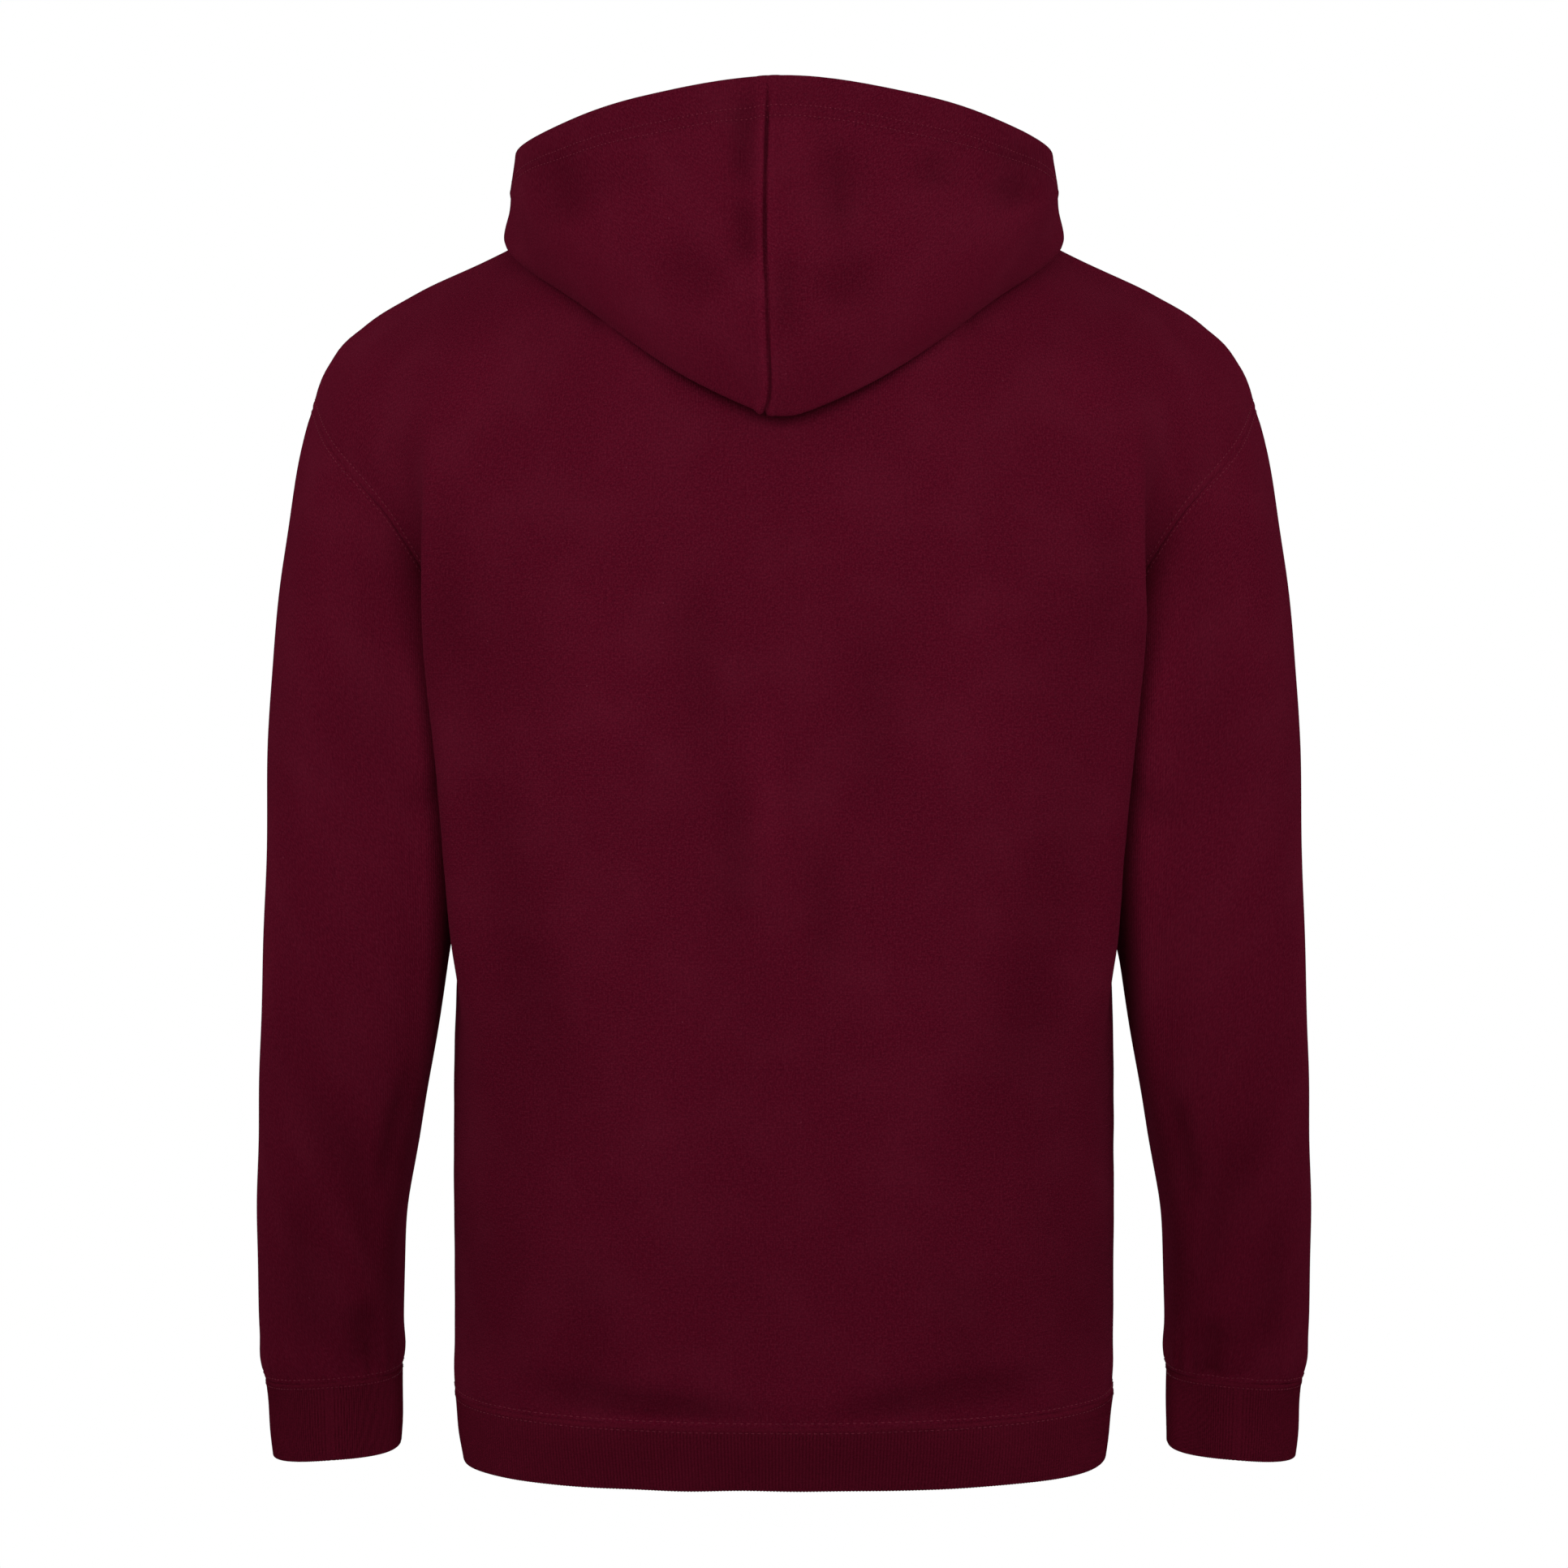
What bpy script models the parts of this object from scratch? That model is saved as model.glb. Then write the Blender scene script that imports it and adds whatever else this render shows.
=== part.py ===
"""A zip up hoodie in brushed fleece, hollow and filled out as when it is worn.

Metres. +Z is up, the front faces -Y and the wearer's left is +X. The origin is the middle of the neck
opening, level with the tops of the shoulders.

Each cloth piece starts as a skin, a grid of points on its outer face. Neighbouring skins share the points of
the seam between them. A wall then gives the skin its thickness inwards, and is trimmed at the seams to leave
the seam gap.
"""
from collections import namedtuple
import math

import bmesh
import bpy
import numpy as np

# ---- Driving sizes ----
SEAM_GAP = 0.0003
FLEECE = 0.0020              # wall of the body and the sleeves
HOOD_FLEECE = 0.0026         # the hood's panels are two layers
RIBBING = 0.0022
HEM_SEAM_Z = -0.681
UNDERARM_Z = -0.272
NECK_HALF_WIDTH = 0.100
NECK_BACK = 0.072            # how far the neckline reaches behind and in front of the origin
NECK_FRONT = 0.088
NECK_DROP_BACK = 0.018
NECK_DROP_FRONT = 0.085
ZIP_SLOT = 0.0045            # half the width between the two front edges
SIDE_FOLD_TURN = 36.0        # degrees from the side seam to the middle of the fold under the arm
SIDE_FOLD_SPREAD = 15.0
FRONT_FOLD_SHARE = 0.6       # the same fold is shallower in front
UNDERARM_STEP = 0.018        # the last level section is this far below the underarm
ZIP_SLOT_REACH = 0.35        # share of the front's width that moves to leave the slot
SLEEVE_TILT = math.tan(math.radians(4.0))
UNDERARM_PULL = 1.3          # how strongly the panels' lines carry on upwards from the underarm
SHOULDER_PULL = 1.5          # and how strongly they turn in over the shoulder, as a share of the way in
LEAST_SHOULDER_PULL = 0.05
NECK_RISE = (0.5, 0.85)      # the way the lines reach the neck: inwards and up
NECK_SIDE_BACK = 0.11        # how much fuller than an ellipse the neckline is at its sides
NECK_SIDE_FRONT = 0.09
SLEEVE_HEAD_BULGE = 0.030
SLEEVE_FLATNESS = 0.76       # 1 makes the sleeves' sections ellipses, less makes them squarer
MITRE_LIMIT = 0.4            # a wall's corner at a sharp seam reaches in at most 1 / 0.4 of its thickness
FOLD_LIFT = 0.8              # the hood's lower fold: its sides stand this share of the roll above it
NECK_ROLL_LIFT = 1.4         # and the roll at the neck seam rises this share of it
HOOD_SEAM_REACH = 0.16       # half the width over which the hood's centre seam is pulled aside
HOOD_SEAM_BEHIND = 0.10      # how far behind the neck it is pulled all the way
HOOD_SEAM_SHIFT = 0.0085     # the hood's centre seam hangs a little to the wearer's left

# The zip, measured across from its middle, out from the cloth's face (depths are behind it) and along it.
TAPE_INNER, TAPE_OUTER = 0.0020, 0.0140
TAPE_DEPTHS = (0.0026, 0.0034)
CHAIN_HALF_WIDTH = 0.0030
CHAIN_DEPTHS = (0.0002, 0.0021)
BOX_HALF_WIDTH = 0.0040
BOX_DEPTHS = (-0.0010, 0.0021)
BOX_LENGTH = 0.0090
SLIDER_FROM_TOP = 0.0150     # from the neck seam down to the slider's middle
SLIDER_LENGTH = 0.0112
SLIDER_HALF_WIDTH = 0.0042
FACE_PLATE_DEPTHS = (-0.0024, -0.0006)
BACK_PLATE_DEPTHS = (0.0038, 0.0050)
POST_HALF_WIDTH = 0.0014
POST_LENGTH = 0.0026
RAIL_WIDTH = 0.0009
RAIL_DEPTH = 0.0016
BRIDGE_HALF_WIDTH = 0.0012
BRIDGE_LENGTH = 0.0076
BRIDGE_HEIGHT = 0.0062       # its top, out from the cloth's face
BRIDGE_THICKNESS = 0.0012
BRIDGE_CORNER = 0.0010
POST_SET_BACK = 0.0004       # the post's and the rails' ends stand back from the plates'
RAIL_SET_BACK = 0.0003
RAIL_SET_IN = 0.002          # share of the slider's half width
TAPE_ENDS = 0.0010           # the tapes and the box stop this far short of the cloth's ends
BOX_FOOT = 0.0005
SLIDER_OVERLAP = 0.0002      # how far the slider's own shapes run into each other
PULL_AXIS_OUT = 0.0038       # the pull's bar turns in the bridge, against its lower leg
PULL_AXIS_DOWN = 0.0016      # below the slider's middle
PULL_BAR_RADIUS = 0.0007
PULL_HALF_WIDTH = 0.0036
PULL_END_HALF_WIDTH = 0.0028
PULL_CORNER = 0.0012
PULL_ARM_WIDTH = 0.0014
PULL_WINDOW = 0.0062         # from the bar's axis down to the tab
PULL_LENGTH = 0.0300
PULL_THICKNESS = 0.0014

# ---- How many steps each skin has ----
STEPS_NECK_BACK = 5
STEPS_NECK_FRONT = 6
STEPS_SHOULDER = 9
STEPS_LOW = 8                # from the hem seam to the underarm
STEPS_ARMHOLE = 9            # from the underarm to the shoulder's end, at the back or at the front

# Level sections of the body, from the hem seam up to the underarm.
BodyRow = namedtuple("BodyRow", "z half_width back front roundness side_y fold")
BODY_ROWS = (
    BodyRow(-0.681, 0.1896, 0.1300, 0.1240, 2.25, 0.000, 0.000),
    BodyRow(-0.620, 0.1896, 0.1305, 0.1260, 2.30, 0.000, 0.000),
    BodyRow(-0.550, 0.1894, 0.1310, 0.1280, 2.35, 0.000, 0.001),
    BodyRow(-0.490, 0.1890, 0.1315, 0.1290, 2.35, -0.001, 0.008),
    BodyRow(-0.420, 0.1856, 0.1320, 0.1300, 2.32, -0.003, 0.0270),
    BodyRow(-0.372, 0.1780, 0.1330, 0.1300, 2.30, -0.005, 0.0385),
    BodyRow(-0.340, 0.1735, 0.1335, 0.1295, 2.30, -0.006, 0.0460),
    BodyRow(-0.300, 0.1705, 0.1340, 0.1285, 2.30, -0.007, 0.0520),
    BodyRow(-0.272, 0.1720, 0.1335, 0.1275, 2.30, -0.008, 0.0530),
)

# Centre lines above the underarm, from the neckline down.
CentreRow = namedtuple("CentreRow", "z y")
CENTRE_BACK = (
    CentreRow(-0.018, 0.0720),
    CentreRow(-0.060, 0.0980),
    CentreRow(-0.120, 0.1190),
    CentreRow(-0.200, 0.1315),
    CentreRow(-0.272, 0.1335),
)
CENTRE_FRONT = (
    CentreRow(-0.085, -0.0880),
    CentreRow(-0.115, -0.1010),
    CentreRow(-0.155, -0.1140),
    CentreRow(-0.210, -0.1240),
    CentreRow(-0.272, -0.1275),
)

# The top line of the left shoulder, from the neck to the sleeve.
ShoulderRow = namedtuple("ShoulderRow", "x y z")
SHOULDER_ROWS = (
    ShoulderRow(0.1000, 0.000, 0.0000),
    ShoulderRow(0.1350, 0.000, -0.0170),
    ShoulderRow(0.1710, 0.000, -0.0350),
    ShoulderRow(0.2106, 0.000, -0.0535),
    ShoulderRow(0.2390, -0.001, -0.0715),
    ShoulderRow(0.2570, -0.001, -0.0894),
    ShoulderRow(0.2662, -0.002, -0.1075),
    ShoulderRow(0.2690, -0.002, -0.1180),
)

# The left armhole seam, turning from the shoulder's end over the back, the underarm and the front.
ArmholeRow = namedtuple("ArmholeRow", "turn x y z")
ARMHOLE_ROWS = (
    ArmholeRow(0, 0.2690, -0.002, -0.118),
    ArmholeRow(45, 0.2545, 0.042, -0.1425),
    ArmholeRow(90, 0.2205, 0.062, -0.181),
    ArmholeRow(135, 0.1880, 0.044, -0.236),
    ArmholeRow(180, 0.1720, -0.008, -0.272),
    ArmholeRow(225, 0.1840, -0.052, -0.238),
    ArmholeRow(270, 0.2140, -0.070, -0.186),
    ArmholeRow(315, 0.2520, -0.048, -0.141),
    ArmholeRow(360, 0.2690, -0.002, -0.118),
)

# Rings of the left sleeve below the armhole: centre and half widths across and front to back.
SleeveRow = namedtuple("SleeveRow", "z x y across deep")
SLEEVE_ROWS = (
    SleeveRow(-0.320, 0.2367, -0.0020, 0.0579, 0.0710),
    SleeveRow(-0.360, 0.2389, -0.0010, 0.0566, 0.0680),
    SleeveRow(-0.400, 0.2424, -0.0020, 0.0554, 0.0645),
    SleeveRow(-0.440, 0.2463, -0.0050, 0.0527, 0.0610),
    SleeveRow(-0.488, 0.2518, -0.0120, 0.0498, 0.0575),
    SleeveRow(-0.535, 0.2567, -0.0190, 0.0466, 0.0545),
    SleeveRow(-0.581, 0.2616, -0.0275, 0.0441, 0.0515),
    SleeveRow(-0.628, 0.2644, -0.0380, 0.0420, 0.0485),
    SleeveRow(-0.660, 0.2647, -0.0450, 0.0409, 0.0460),
    SleeveRow(-0.6805, 0.2640, -0.0490, 0.0394, 0.0440),
)
CUFF_ROWS = (
    SleeveRow(-0.691, 0.2636, -0.0510, 0.0389, 0.0430),
    SleeveRow(-0.712, 0.2634, -0.0530, 0.0384, 0.0420),
    SleeveRow(-0.7270, 0.2629, -0.0540, 0.0372, 0.0410),
)
RIB_ROWS = (
    BodyRow(-0.691, 0.1884, 0.1270, 0.1215, 2.35, 0.000, 0.000),
    BodyRow(-0.708, 0.1866, 0.1205, 0.1155, 2.50, 0.000, 0.000),
    BodyRow(-0.7188, 0.1850, 0.1165, 0.1120, 2.60, 0.000, 0.000),
)

# The hood lies back. From the neck seam each line of it rises a little, lies out over the panels to the lower
# fold, turns there and climbs past its outermost point to the edge of the face opening. One row for each turn
# round the neck from the centre back; roll is the radius of the lower fold.
HoodRow = namedtuple("HoodRow", "turn roll under fold outer edge")
HOOD_ROWS = (
    HoodRow(0, 0.0046, (0.0000, 0.1110, -0.0590), (0.0000, 0.1430, -0.1290),
            (0.0000, 0.1690, -0.0480), (0.0000, 0.1300, 0.0610)),
    HoodRow(30, 0.0046, (0.0540, 0.1085, -0.0500), (0.0560, 0.1290, -0.1005),
            (0.0860, 0.1330, -0.0360), (0.0770, 0.1110, 0.0510)),
    HoodRow(60, 0.0048, (0.1040, 0.0715, -0.0240), (0.1115, 0.0925, -0.0620),
            (0.1400, 0.0840, -0.0120), (0.1285, 0.0640, 0.0365)),
    HoodRow(90, 0.0030, (0.1290, 0.0060, -0.0040), (0.1535, 0.0240, -0.0300),
            (0.1550, 0.0110, -0.0040), (0.1515, 0.0140, 0.0240)),
    HoodRow(105, 0.0035, (0.1230, -0.0215, -0.0105), (0.1475, -0.0160, -0.0200),
            (0.1515, -0.0150, -0.0060), (0.1470, -0.0080, 0.0190)),
    HoodRow(120, 0.0060, (0.1130, -0.0470, -0.0240), (0.1330, -0.0500, -0.0385),
            (0.1450, -0.0400, -0.0160), (0.1370, -0.0300, 0.0100)),
    HoodRow(150, 0.0040, (0.0660, -0.0840, -0.0660), (0.0800, -0.0930, -0.0740),
            (0.0940, -0.0940, -0.0460), (0.0880, -0.0860, -0.0220)),
    HoodRow(180, 0.0015, (0.0045, -0.0920, -0.0845), (0.0045, -0.0955, -0.0830),
            (0.0040, -0.1060, -0.0700), (0.0032, -0.1060, -0.0540)),
)
# Where those points stand along each line, and where the hood's skin is stepped.
HOOD_KEYS = (0.0, 0.06, 0.25, 0.42, 0.46, 0.50, 0.72, 1.0)
HOOD_STEPS = (0.0, 0.06, 0.15, 0.25, 0.34, 0.42, 0.46, 0.50, 0.58, 0.66, 0.75, 0.84, 0.92, 1.0)


# ---- Curves ----
def through(keys, values, wanted):
    """Smooth curve through the values at the keys, read at the wanted keys."""
    keys, values, wanted = np.asarray(keys, float), np.asarray(values, float), np.asarray(wanted, float)
    slopes = np.gradient(values, keys, axis=0)
    left = np.clip(np.searchsorted(keys, wanted) - 1, 0, len(keys) - 2)
    span = (keys[left + 1] - keys[left])[..., None]
    s = (wanted - keys[left])[..., None] / span
    return curve_piece(values[left], slopes[left] * span, values[left + 1], slopes[left + 1] * span, s)


def curve_piece(start, start_pull, end, end_pull, s):
    """Cubic from start to end, leaving along start_pull and arriving along end_pull."""
    return ((2 * s**3 - 3 * s**2 + 1) * start + (s**3 - 2 * s**2 + s) * start_pull
            + (3 * s**2 - 2 * s**3) * end + (s**3 - s**2) * end_pull)


def by_length(points, shares):
    """Points at the given shares of a line's length."""
    lengths = np.concatenate([[0.0], np.cumsum(np.linalg.norm(np.diff(points, axis=0), axis=1))])
    wanted = np.asarray(shares) * lengths[-1]
    return np.stack([np.interp(wanted, lengths, points[:, i]) for i in range(3)], axis=1)


def fractions(steps):
    return np.linspace(0.0, 1.0, steps + 1)


# ---- The body's skins ----
def level_section(row, side):
    """Half of a level section, from the centre line to the side seam; side is 1 behind and -1 in front."""
    turn = np.linspace(90.0, 0.0, 91)
    round_power = 2.0 / row.roundness
    depth = row.back if side > 0 else -row.front
    fold = row.fold * (1.0 if side > 0 else FRONT_FOLD_SHARE)
    bump = fold * np.exp(-((turn - SIDE_FOLD_TURN) / SIDE_FOLD_SPREAD) ** 2)
    x = row.half_width * np.abs(np.cos(np.radians(turn))) ** round_power
    x += bump * np.minimum(1.0, (90 - turn) / 30)
    y = row.side_y + (depth - row.side_y) * np.sin(np.radians(turn)) ** round_power
    x -= bump[-1] * np.clip(1 - turn / 10.0, 0, 1)
    return np.stack([x, y, np.full_like(x, row.z)], axis=1)


def body_row(z):
    return BodyRow(z, *through([r.z for r in BODY_ROWS], [r[1:] for r in BODY_ROWS], z))


def neckline(turn):
    """The neck seam at a turn in degrees from the centre back."""
    c, s = math.cos(math.radians(turn)), math.sin(math.radians(turn))
    x = NECK_HALF_WIDTH * s
    if c > 0:
        return np.array([x, NECK_BACK * c * (1 + NECK_SIDE_BACK * s * s), -NECK_DROP_BACK * c * c])
    return np.array([x, NECK_FRONT * c * (1 - NECK_SIDE_FRONT * s * s), -NECK_DROP_FRONT * (-c) ** 1.5])


def half_panel(side):
    """Left half of the back (side 1) or the left front (side -1): rows of points from the hem seam up."""
    neck_steps = STEPS_NECK_BACK if side > 0 else STEPS_NECK_FRONT
    across = fractions(neck_steps + STEPS_SHOULDER)

    levels = np.append(np.linspace(HEM_SEAM_Z, UNDERARM_Z - UNDERARM_STEP, STEPS_LOW), UNDERARM_Z)
    rows = [by_length(level_section(body_row(z), side), across) for z in levels]

    neck_turns = np.linspace(0 if side > 0 else 180, 90, neck_steps + 1)
    neck = np.array([neckline(t) for t in neck_turns])
    shoulder_line = through([r.x for r in SHOULDER_ROWS], SHOULDER_ROWS, np.linspace(0.100, 0.269, 60))
    top = np.concatenate([neck, by_length(shoulder_line, fractions(STEPS_SHOULDER))[1:]])

    turns = np.linspace(180, 0 if side > 0 else 360, 60)
    armhole_line = through([r.turn for r in ARMHOLE_ROWS], [r[1:] for r in ARMHOLE_ROWS], turns)
    armhole = by_length(armhole_line, fractions(STEPS_ARMHOLE))
    armhole[-1] = top[-1]
    rows[-1][-1] = armhole[0]

    centre_rows = (CENTRE_BACK if side > 0 else CENTRE_FRONT)[::-1]
    zs = np.linspace(centre_rows[0].z, centre_rows[-1].z, 60)
    ys = through([r.z for r in centre_rows], [[r.y] for r in centre_rows], zs)[:, 0]
    centre = by_length(np.stack([0 * zs, ys, zs], axis=1), fractions(STEPS_ARMHOLE))

    # Each line leaves the underarm as it came up to it. It reaches the shoulder level, and the neck steeply.
    bottom = rows[-1]
    below = by_length(level_section(body_row(UNDERARM_Z - UNDERARM_STEP), side), across)
    rise = (top[:, 2] - bottom[:, 2])[:, None]
    start_pull = (bottom - below) / UNDERARM_STEP * rise * UNDERARM_PULL
    inward = (bottom[:, 1] - top[:, 1]) * side
    at_shoulder, at_neck = np.array([0.0, -side, 0.0]), np.array([0.0, -side * NECK_RISE[0], NECK_RISE[1]])
    neck_share = np.clip(1 - across * (neck_steps + STEPS_SHOULDER) / neck_steps, 0, 1)[:, None] ** 2
    end_pull = at_shoulder * (1 - neck_share) + at_neck * neck_share
    end_pull *= np.maximum(SHOULDER_PULL * inward, LEAST_SHOULDER_PULL)[:, None]
    ups = fractions(STEPS_ARMHOLE)[1:-1]
    rows += [curve_piece(bottom, start_pull, top, end_pull, up) for up in ups] + [top]
    upper = np.array(rows[STEPS_LOW:])
    to_centre = centre - upper[:, 0]
    to_armhole = armhole - upper[:, -1]
    u = across[None, :, None]
    upper = upper + (1 - u) * to_centre[:, None] + u * to_armhole[:, None]
    skin = np.concatenate([np.array(rows[:STEPS_LOW]), upper])
    return skin if side > 0 else open_for_zip(skin, across)


def open_for_zip(points, across):
    """Shifts the left front's points to leave its half of the zip's slot."""
    points[..., 0] += ZIP_SLOT * np.clip(1 - across / ZIP_SLOT_REACH, 0, 1)
    return points


def ribbed_hem(back_half, front):
    """The hem band, from the right front edge round the back to the left one: rows from the seam down."""
    def whole(left_back, left_front):
        flip = np.array([-1.0, 1.0, 1.0])
        right_back = (left_back * flip)[::-1]
        return np.concatenate([left_front * flip, right_back[1:], left_back[1:], left_front[::-1][1:]])

    rings = [whole(back_half[0], front[0])]
    for row in RIB_ROWS:
        left_back = by_length(level_section(row, 1), fractions(STEPS_NECK_BACK + STEPS_SHOULDER))
        across = fractions(STEPS_NECK_FRONT + STEPS_SHOULDER)
        rings.append(whole(left_back, open_for_zip(by_length(level_section(row, -1), across), across)))
    return np.array(rings)


def mirrored(skin):
    """The same piece on the wearer's right, with its columns turned round to keep its outside out."""
    return skin[:, ::-1] * np.array([-1.0, 1.0, 1.0])


# ---- The sleeves' skins ----
def sleeve_ring(row, count):
    turn = np.radians(180 - 360 * np.arange(count) / count)
    x = row.x + row.across * np.sign(np.cos(turn)) * np.abs(np.cos(turn)) ** SLEEVE_FLATNESS
    y = row.y + row.deep * np.sign(np.sin(turn)) * np.abs(np.sin(turn)) ** SLEEVE_FLATNESS
    return np.stack([x, y, row.z + SLEEVE_TILT * (row.x - x)], axis=1)


def left_sleeve(back, front):
    armhole = np.concatenate([back[STEPS_LOW:, -1], front[STEPS_LOW + 1:-1, -1][::-1]])
    count = 2 * STEPS_ARMHOLE
    turn = np.radians(180 - 360 * np.arange(count) / count)
    first, second = sleeve_ring(SLEEVE_ROWS[0], count), sleeve_ring(SLEEVE_ROWS[1], count)
    fall = (armhole[:, 2] - first[:, 2])[:, None]
    outward = np.stack([np.cos(turn), np.sin(turn), 0 * turn], axis=1) * (0.5 + 0.5 * np.cos(turn))[:, None]
    start_pull = (first - armhole) + SLEEVE_HEAD_BULGE * outward
    end_pull = (second - first) / (SLEEVE_ROWS[0].z - SLEEVE_ROWS[1].z) * fall
    rings = [curve_piece(armhole, start_pull, first, end_pull, v) for v in (0, 0.2, 0.45, 0.72)]
    rings += [sleeve_ring(row, count) for row in SLEEVE_ROWS]
    return np.array(rings)


# ---- The hood's skins ----
def left_hood(back_half, front):
    """Left half of the hood: rows from the neck seam to its face edge, columns from front to back."""
    neck = np.concatenate([back_half[-1, :STEPS_NECK_BACK + 1], front[-1, :STEPS_NECK_FRONT][::-1]])
    turns = np.concatenate([90 * fractions(STEPS_NECK_BACK), 90 + 90 * fractions(STEPS_NECK_FRONT)[1:]])
    keys = [row.turn for row in HOOD_ROWS]
    roll = through(keys, [[row.roll] for row in HOOD_ROWS], turns)
    fold = through(keys, [row.fold for row in HOOD_ROWS], turns)
    # The other lines cross the centre seam level, so each starts with a row from the other side of it.
    over = [[-1, 1, 1] * np.array(getattr(HOOD_ROWS[1], line)) for line in ("under", "outer", "edge")]
    under, outer, edge = (
        through([-HOOD_ROWS[1].turn] + keys, [first] + [getattr(row, line) for row in HOOD_ROWS], turns)
        for first, line in zip(over, ("under", "outer", "edge")))

    def level_unit(vector):
        level = vector * np.array([1.0, 1.0, 0.0])
        return level / np.maximum(np.linalg.norm(level, axis=1, keepdims=True), 1e-9)

    up = np.array([0.0, 0.0, 1.0])
    risen = neck + roll * (level_unit(under - neck) + NECK_ROLL_LIFT * up)
    out = level_unit(outer - under)
    before, after = fold + roll * (FOLD_LIFT * up - out), fold + roll * (FOLD_LIFT * up + out)
    stations = np.array([neck, risen, under, before, fold, after, outer, edge])
    skin = through(HOOD_KEYS, stations.reshape(len(HOOD_KEYS), -1), HOOD_STEPS)
    skin = skin.reshape(len(HOOD_STEPS), -1, 3)
    skin[0] = neck
    return skin[:, ::-1]


def hang_hood_seam(skin):
    """Lets the hood's centre seam hang towards the wearer's left, most below the neck and at the back."""
    loose = np.clip(np.array(HOOD_STEPS) / HOOD_KEYS[2], 0, 1)[:, None]
    behind = np.clip(skin[:, :, 1] / HOOD_SEAM_BEHIND, 0, 1)
    behind *= np.clip(1 - (skin[:, :, 0] / HOOD_SEAM_REACH) ** 2, 0, 1)
    skin[:, :, 0] += HOOD_SEAM_SHIFT * loose * behind
    return skin


# ---- The zip ----
def zip_line(front, rib):
    """The front edge's line from the hem band's lower edge to the neck, with x at 0, and its normals."""
    line = np.concatenate([rib[:0:-1, 0], front[:, 0]]) * [0, 1, 1]
    steps = np.diff(line, axis=0)
    steps /= np.linalg.norm(steps, axis=1, keepdims=True)
    along = np.concatenate([steps[:1], steps[:-1] + steps[1:], steps[-1:]])
    along /= np.linalg.norm(along, axis=1, keepdims=True)
    return line, np.stack([0 * along[:, 0], -along[:, 2], along[:, 1]], axis=1)


def stretch(line, out, start, end):
    """The part of the zip's line between two lengths along it, with its normals."""
    lengths = np.concatenate([[0.0], np.cumsum(np.linalg.norm(np.diff(line, axis=0), axis=1))])
    inside = (lengths > start + 1e-4) & (lengths < end - 1e-4)
    at = np.concatenate([[start], lengths[inside], [end]])

    def read(values):
        return np.stack([np.interp(at, lengths, values[:, i]) for i in range(3)], axis=1)

    return read(line), read(out)


def add_strip(name, line, out, left, right, depths, finish):
    """A flat strip along the zip's line, between two places across and two depths behind the cloth's face."""
    corners = [(left, depths[0]), (left, depths[1]), (right, depths[1]), (right, depths[0])]
    rings = np.array([line + [x, 0, 0] - out * depth for x, depth in corners]).transpose(1, 0, 2)
    faces = [[4 * i + j, 4 * i + (j + 1) % 4, 4 * i + (j + 1) % 4 + 4, 4 * i + j + 4]
             for i in range(len(line) - 1) for j in range(4)]
    last = 4 * (len(line) - 1)
    faces += [[3, 2, 1, 0], [last, last + 1, last + 2, last + 3]]
    return outward(add_object(name, rings.reshape(-1, 3), faces, finish))


def block(x, out, up):
    """Corners and faces of a box in the slider's own axes: across, out from the cloth and up the chain."""
    points = [(i, -j, k) for i in x for j in out for k in up]
    return points, [[0, 1, 3, 2], [4, 6, 7, 5], [0, 4, 5, 1], [2, 3, 7, 6], [0, 2, 6, 4], [1, 5, 7, 3]]


def add_block(name, x, out, up, finish):
    points, faces = block(x, out, up)
    return outward(add_object(name, points, faces, finish))


def outward(obj):
    mesh = bmesh.new()
    mesh.from_mesh(obj.data)
    bmesh.ops.recalc_face_normals(mesh, faces=mesh.faces)
    mesh.to_mesh(obj.data)
    mesh.free()
    return obj


def unite(base, others):
    """Joins the other shapes into the base with Boolean unions; they stay behind as hidden guides."""
    for other in others:
        union = base.modifiers.new(other.name, "BOOLEAN")
        union.operation = "UNION"
        union.object = other
        other.hide_render = True
        other.display_type = "WIRE"
    return base


def slider_pieces(metal):
    """The slider round its own middle: two plates on a post, rails beside the chain, and the bridge."""
    half = SLIDER_LENGTH / 2
    post_low = half - POST_LENGTH
    face_out = [-depth for depth in FACE_PLATE_DEPTHS][::-1]
    back_out = [-depth for depth in BACK_PLATE_DEPTHS][::-1]
    width, overlap, corner = SLIDER_HALF_WIDTH, SLIDER_OVERLAP, BRIDGE_CORNER
    slider = add_block("zip_slider", (-width, width), face_out, (-half, half), metal)
    others = [
        add_block("slider_back", (-width, width), back_out, (-half, half), metal),
        add_block("slider_post", (-POST_HALF_WIDTH, POST_HALF_WIDTH),
                  (back_out[1] - overlap, face_out[0] + overlap), (post_low, half - POST_SET_BACK), metal),
    ]
    for side in (-1, 1):
        rail = sorted((side * width * (1 - RAIL_SET_IN), side * (width - RAIL_WIDTH)))
        others.append(add_block(f"slider_rail_{side}", rail, (-RAIL_DEPTH, face_out[0] + overlap),
                                (-half + RAIL_SET_BACK, half - RAIL_SET_BACK), metal))
    leg = BRIDGE_THICKNESS
    low, high = -BRIDGE_LENGTH / 2, BRIDGE_LENGTH / 2
    top, foot = BRIDGE_HEIGHT, face_out[1] - overlap
    profile = [(foot, low), (top - corner, low), (top, low + corner), (top, high - corner),
               (top - corner, high), (foot, high), (foot, high - leg), (top - leg, high - leg),
               (top - leg, low + leg), (foot, low + leg)]
    others.append(add_prism("slider_bridge", profile, BRIDGE_HALF_WIDTH, metal))
    return unite(slider, others)


def add_prism(name, profile, half_width, finish):
    """A side profile, given as (out, up) points, made as thick as twice the half width across."""
    points = [(x, -out, up) for x in (-half_width, half_width) for out, up in profile]
    return outward(add_object(name, points, prism_faces(len(profile)), finish))


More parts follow.
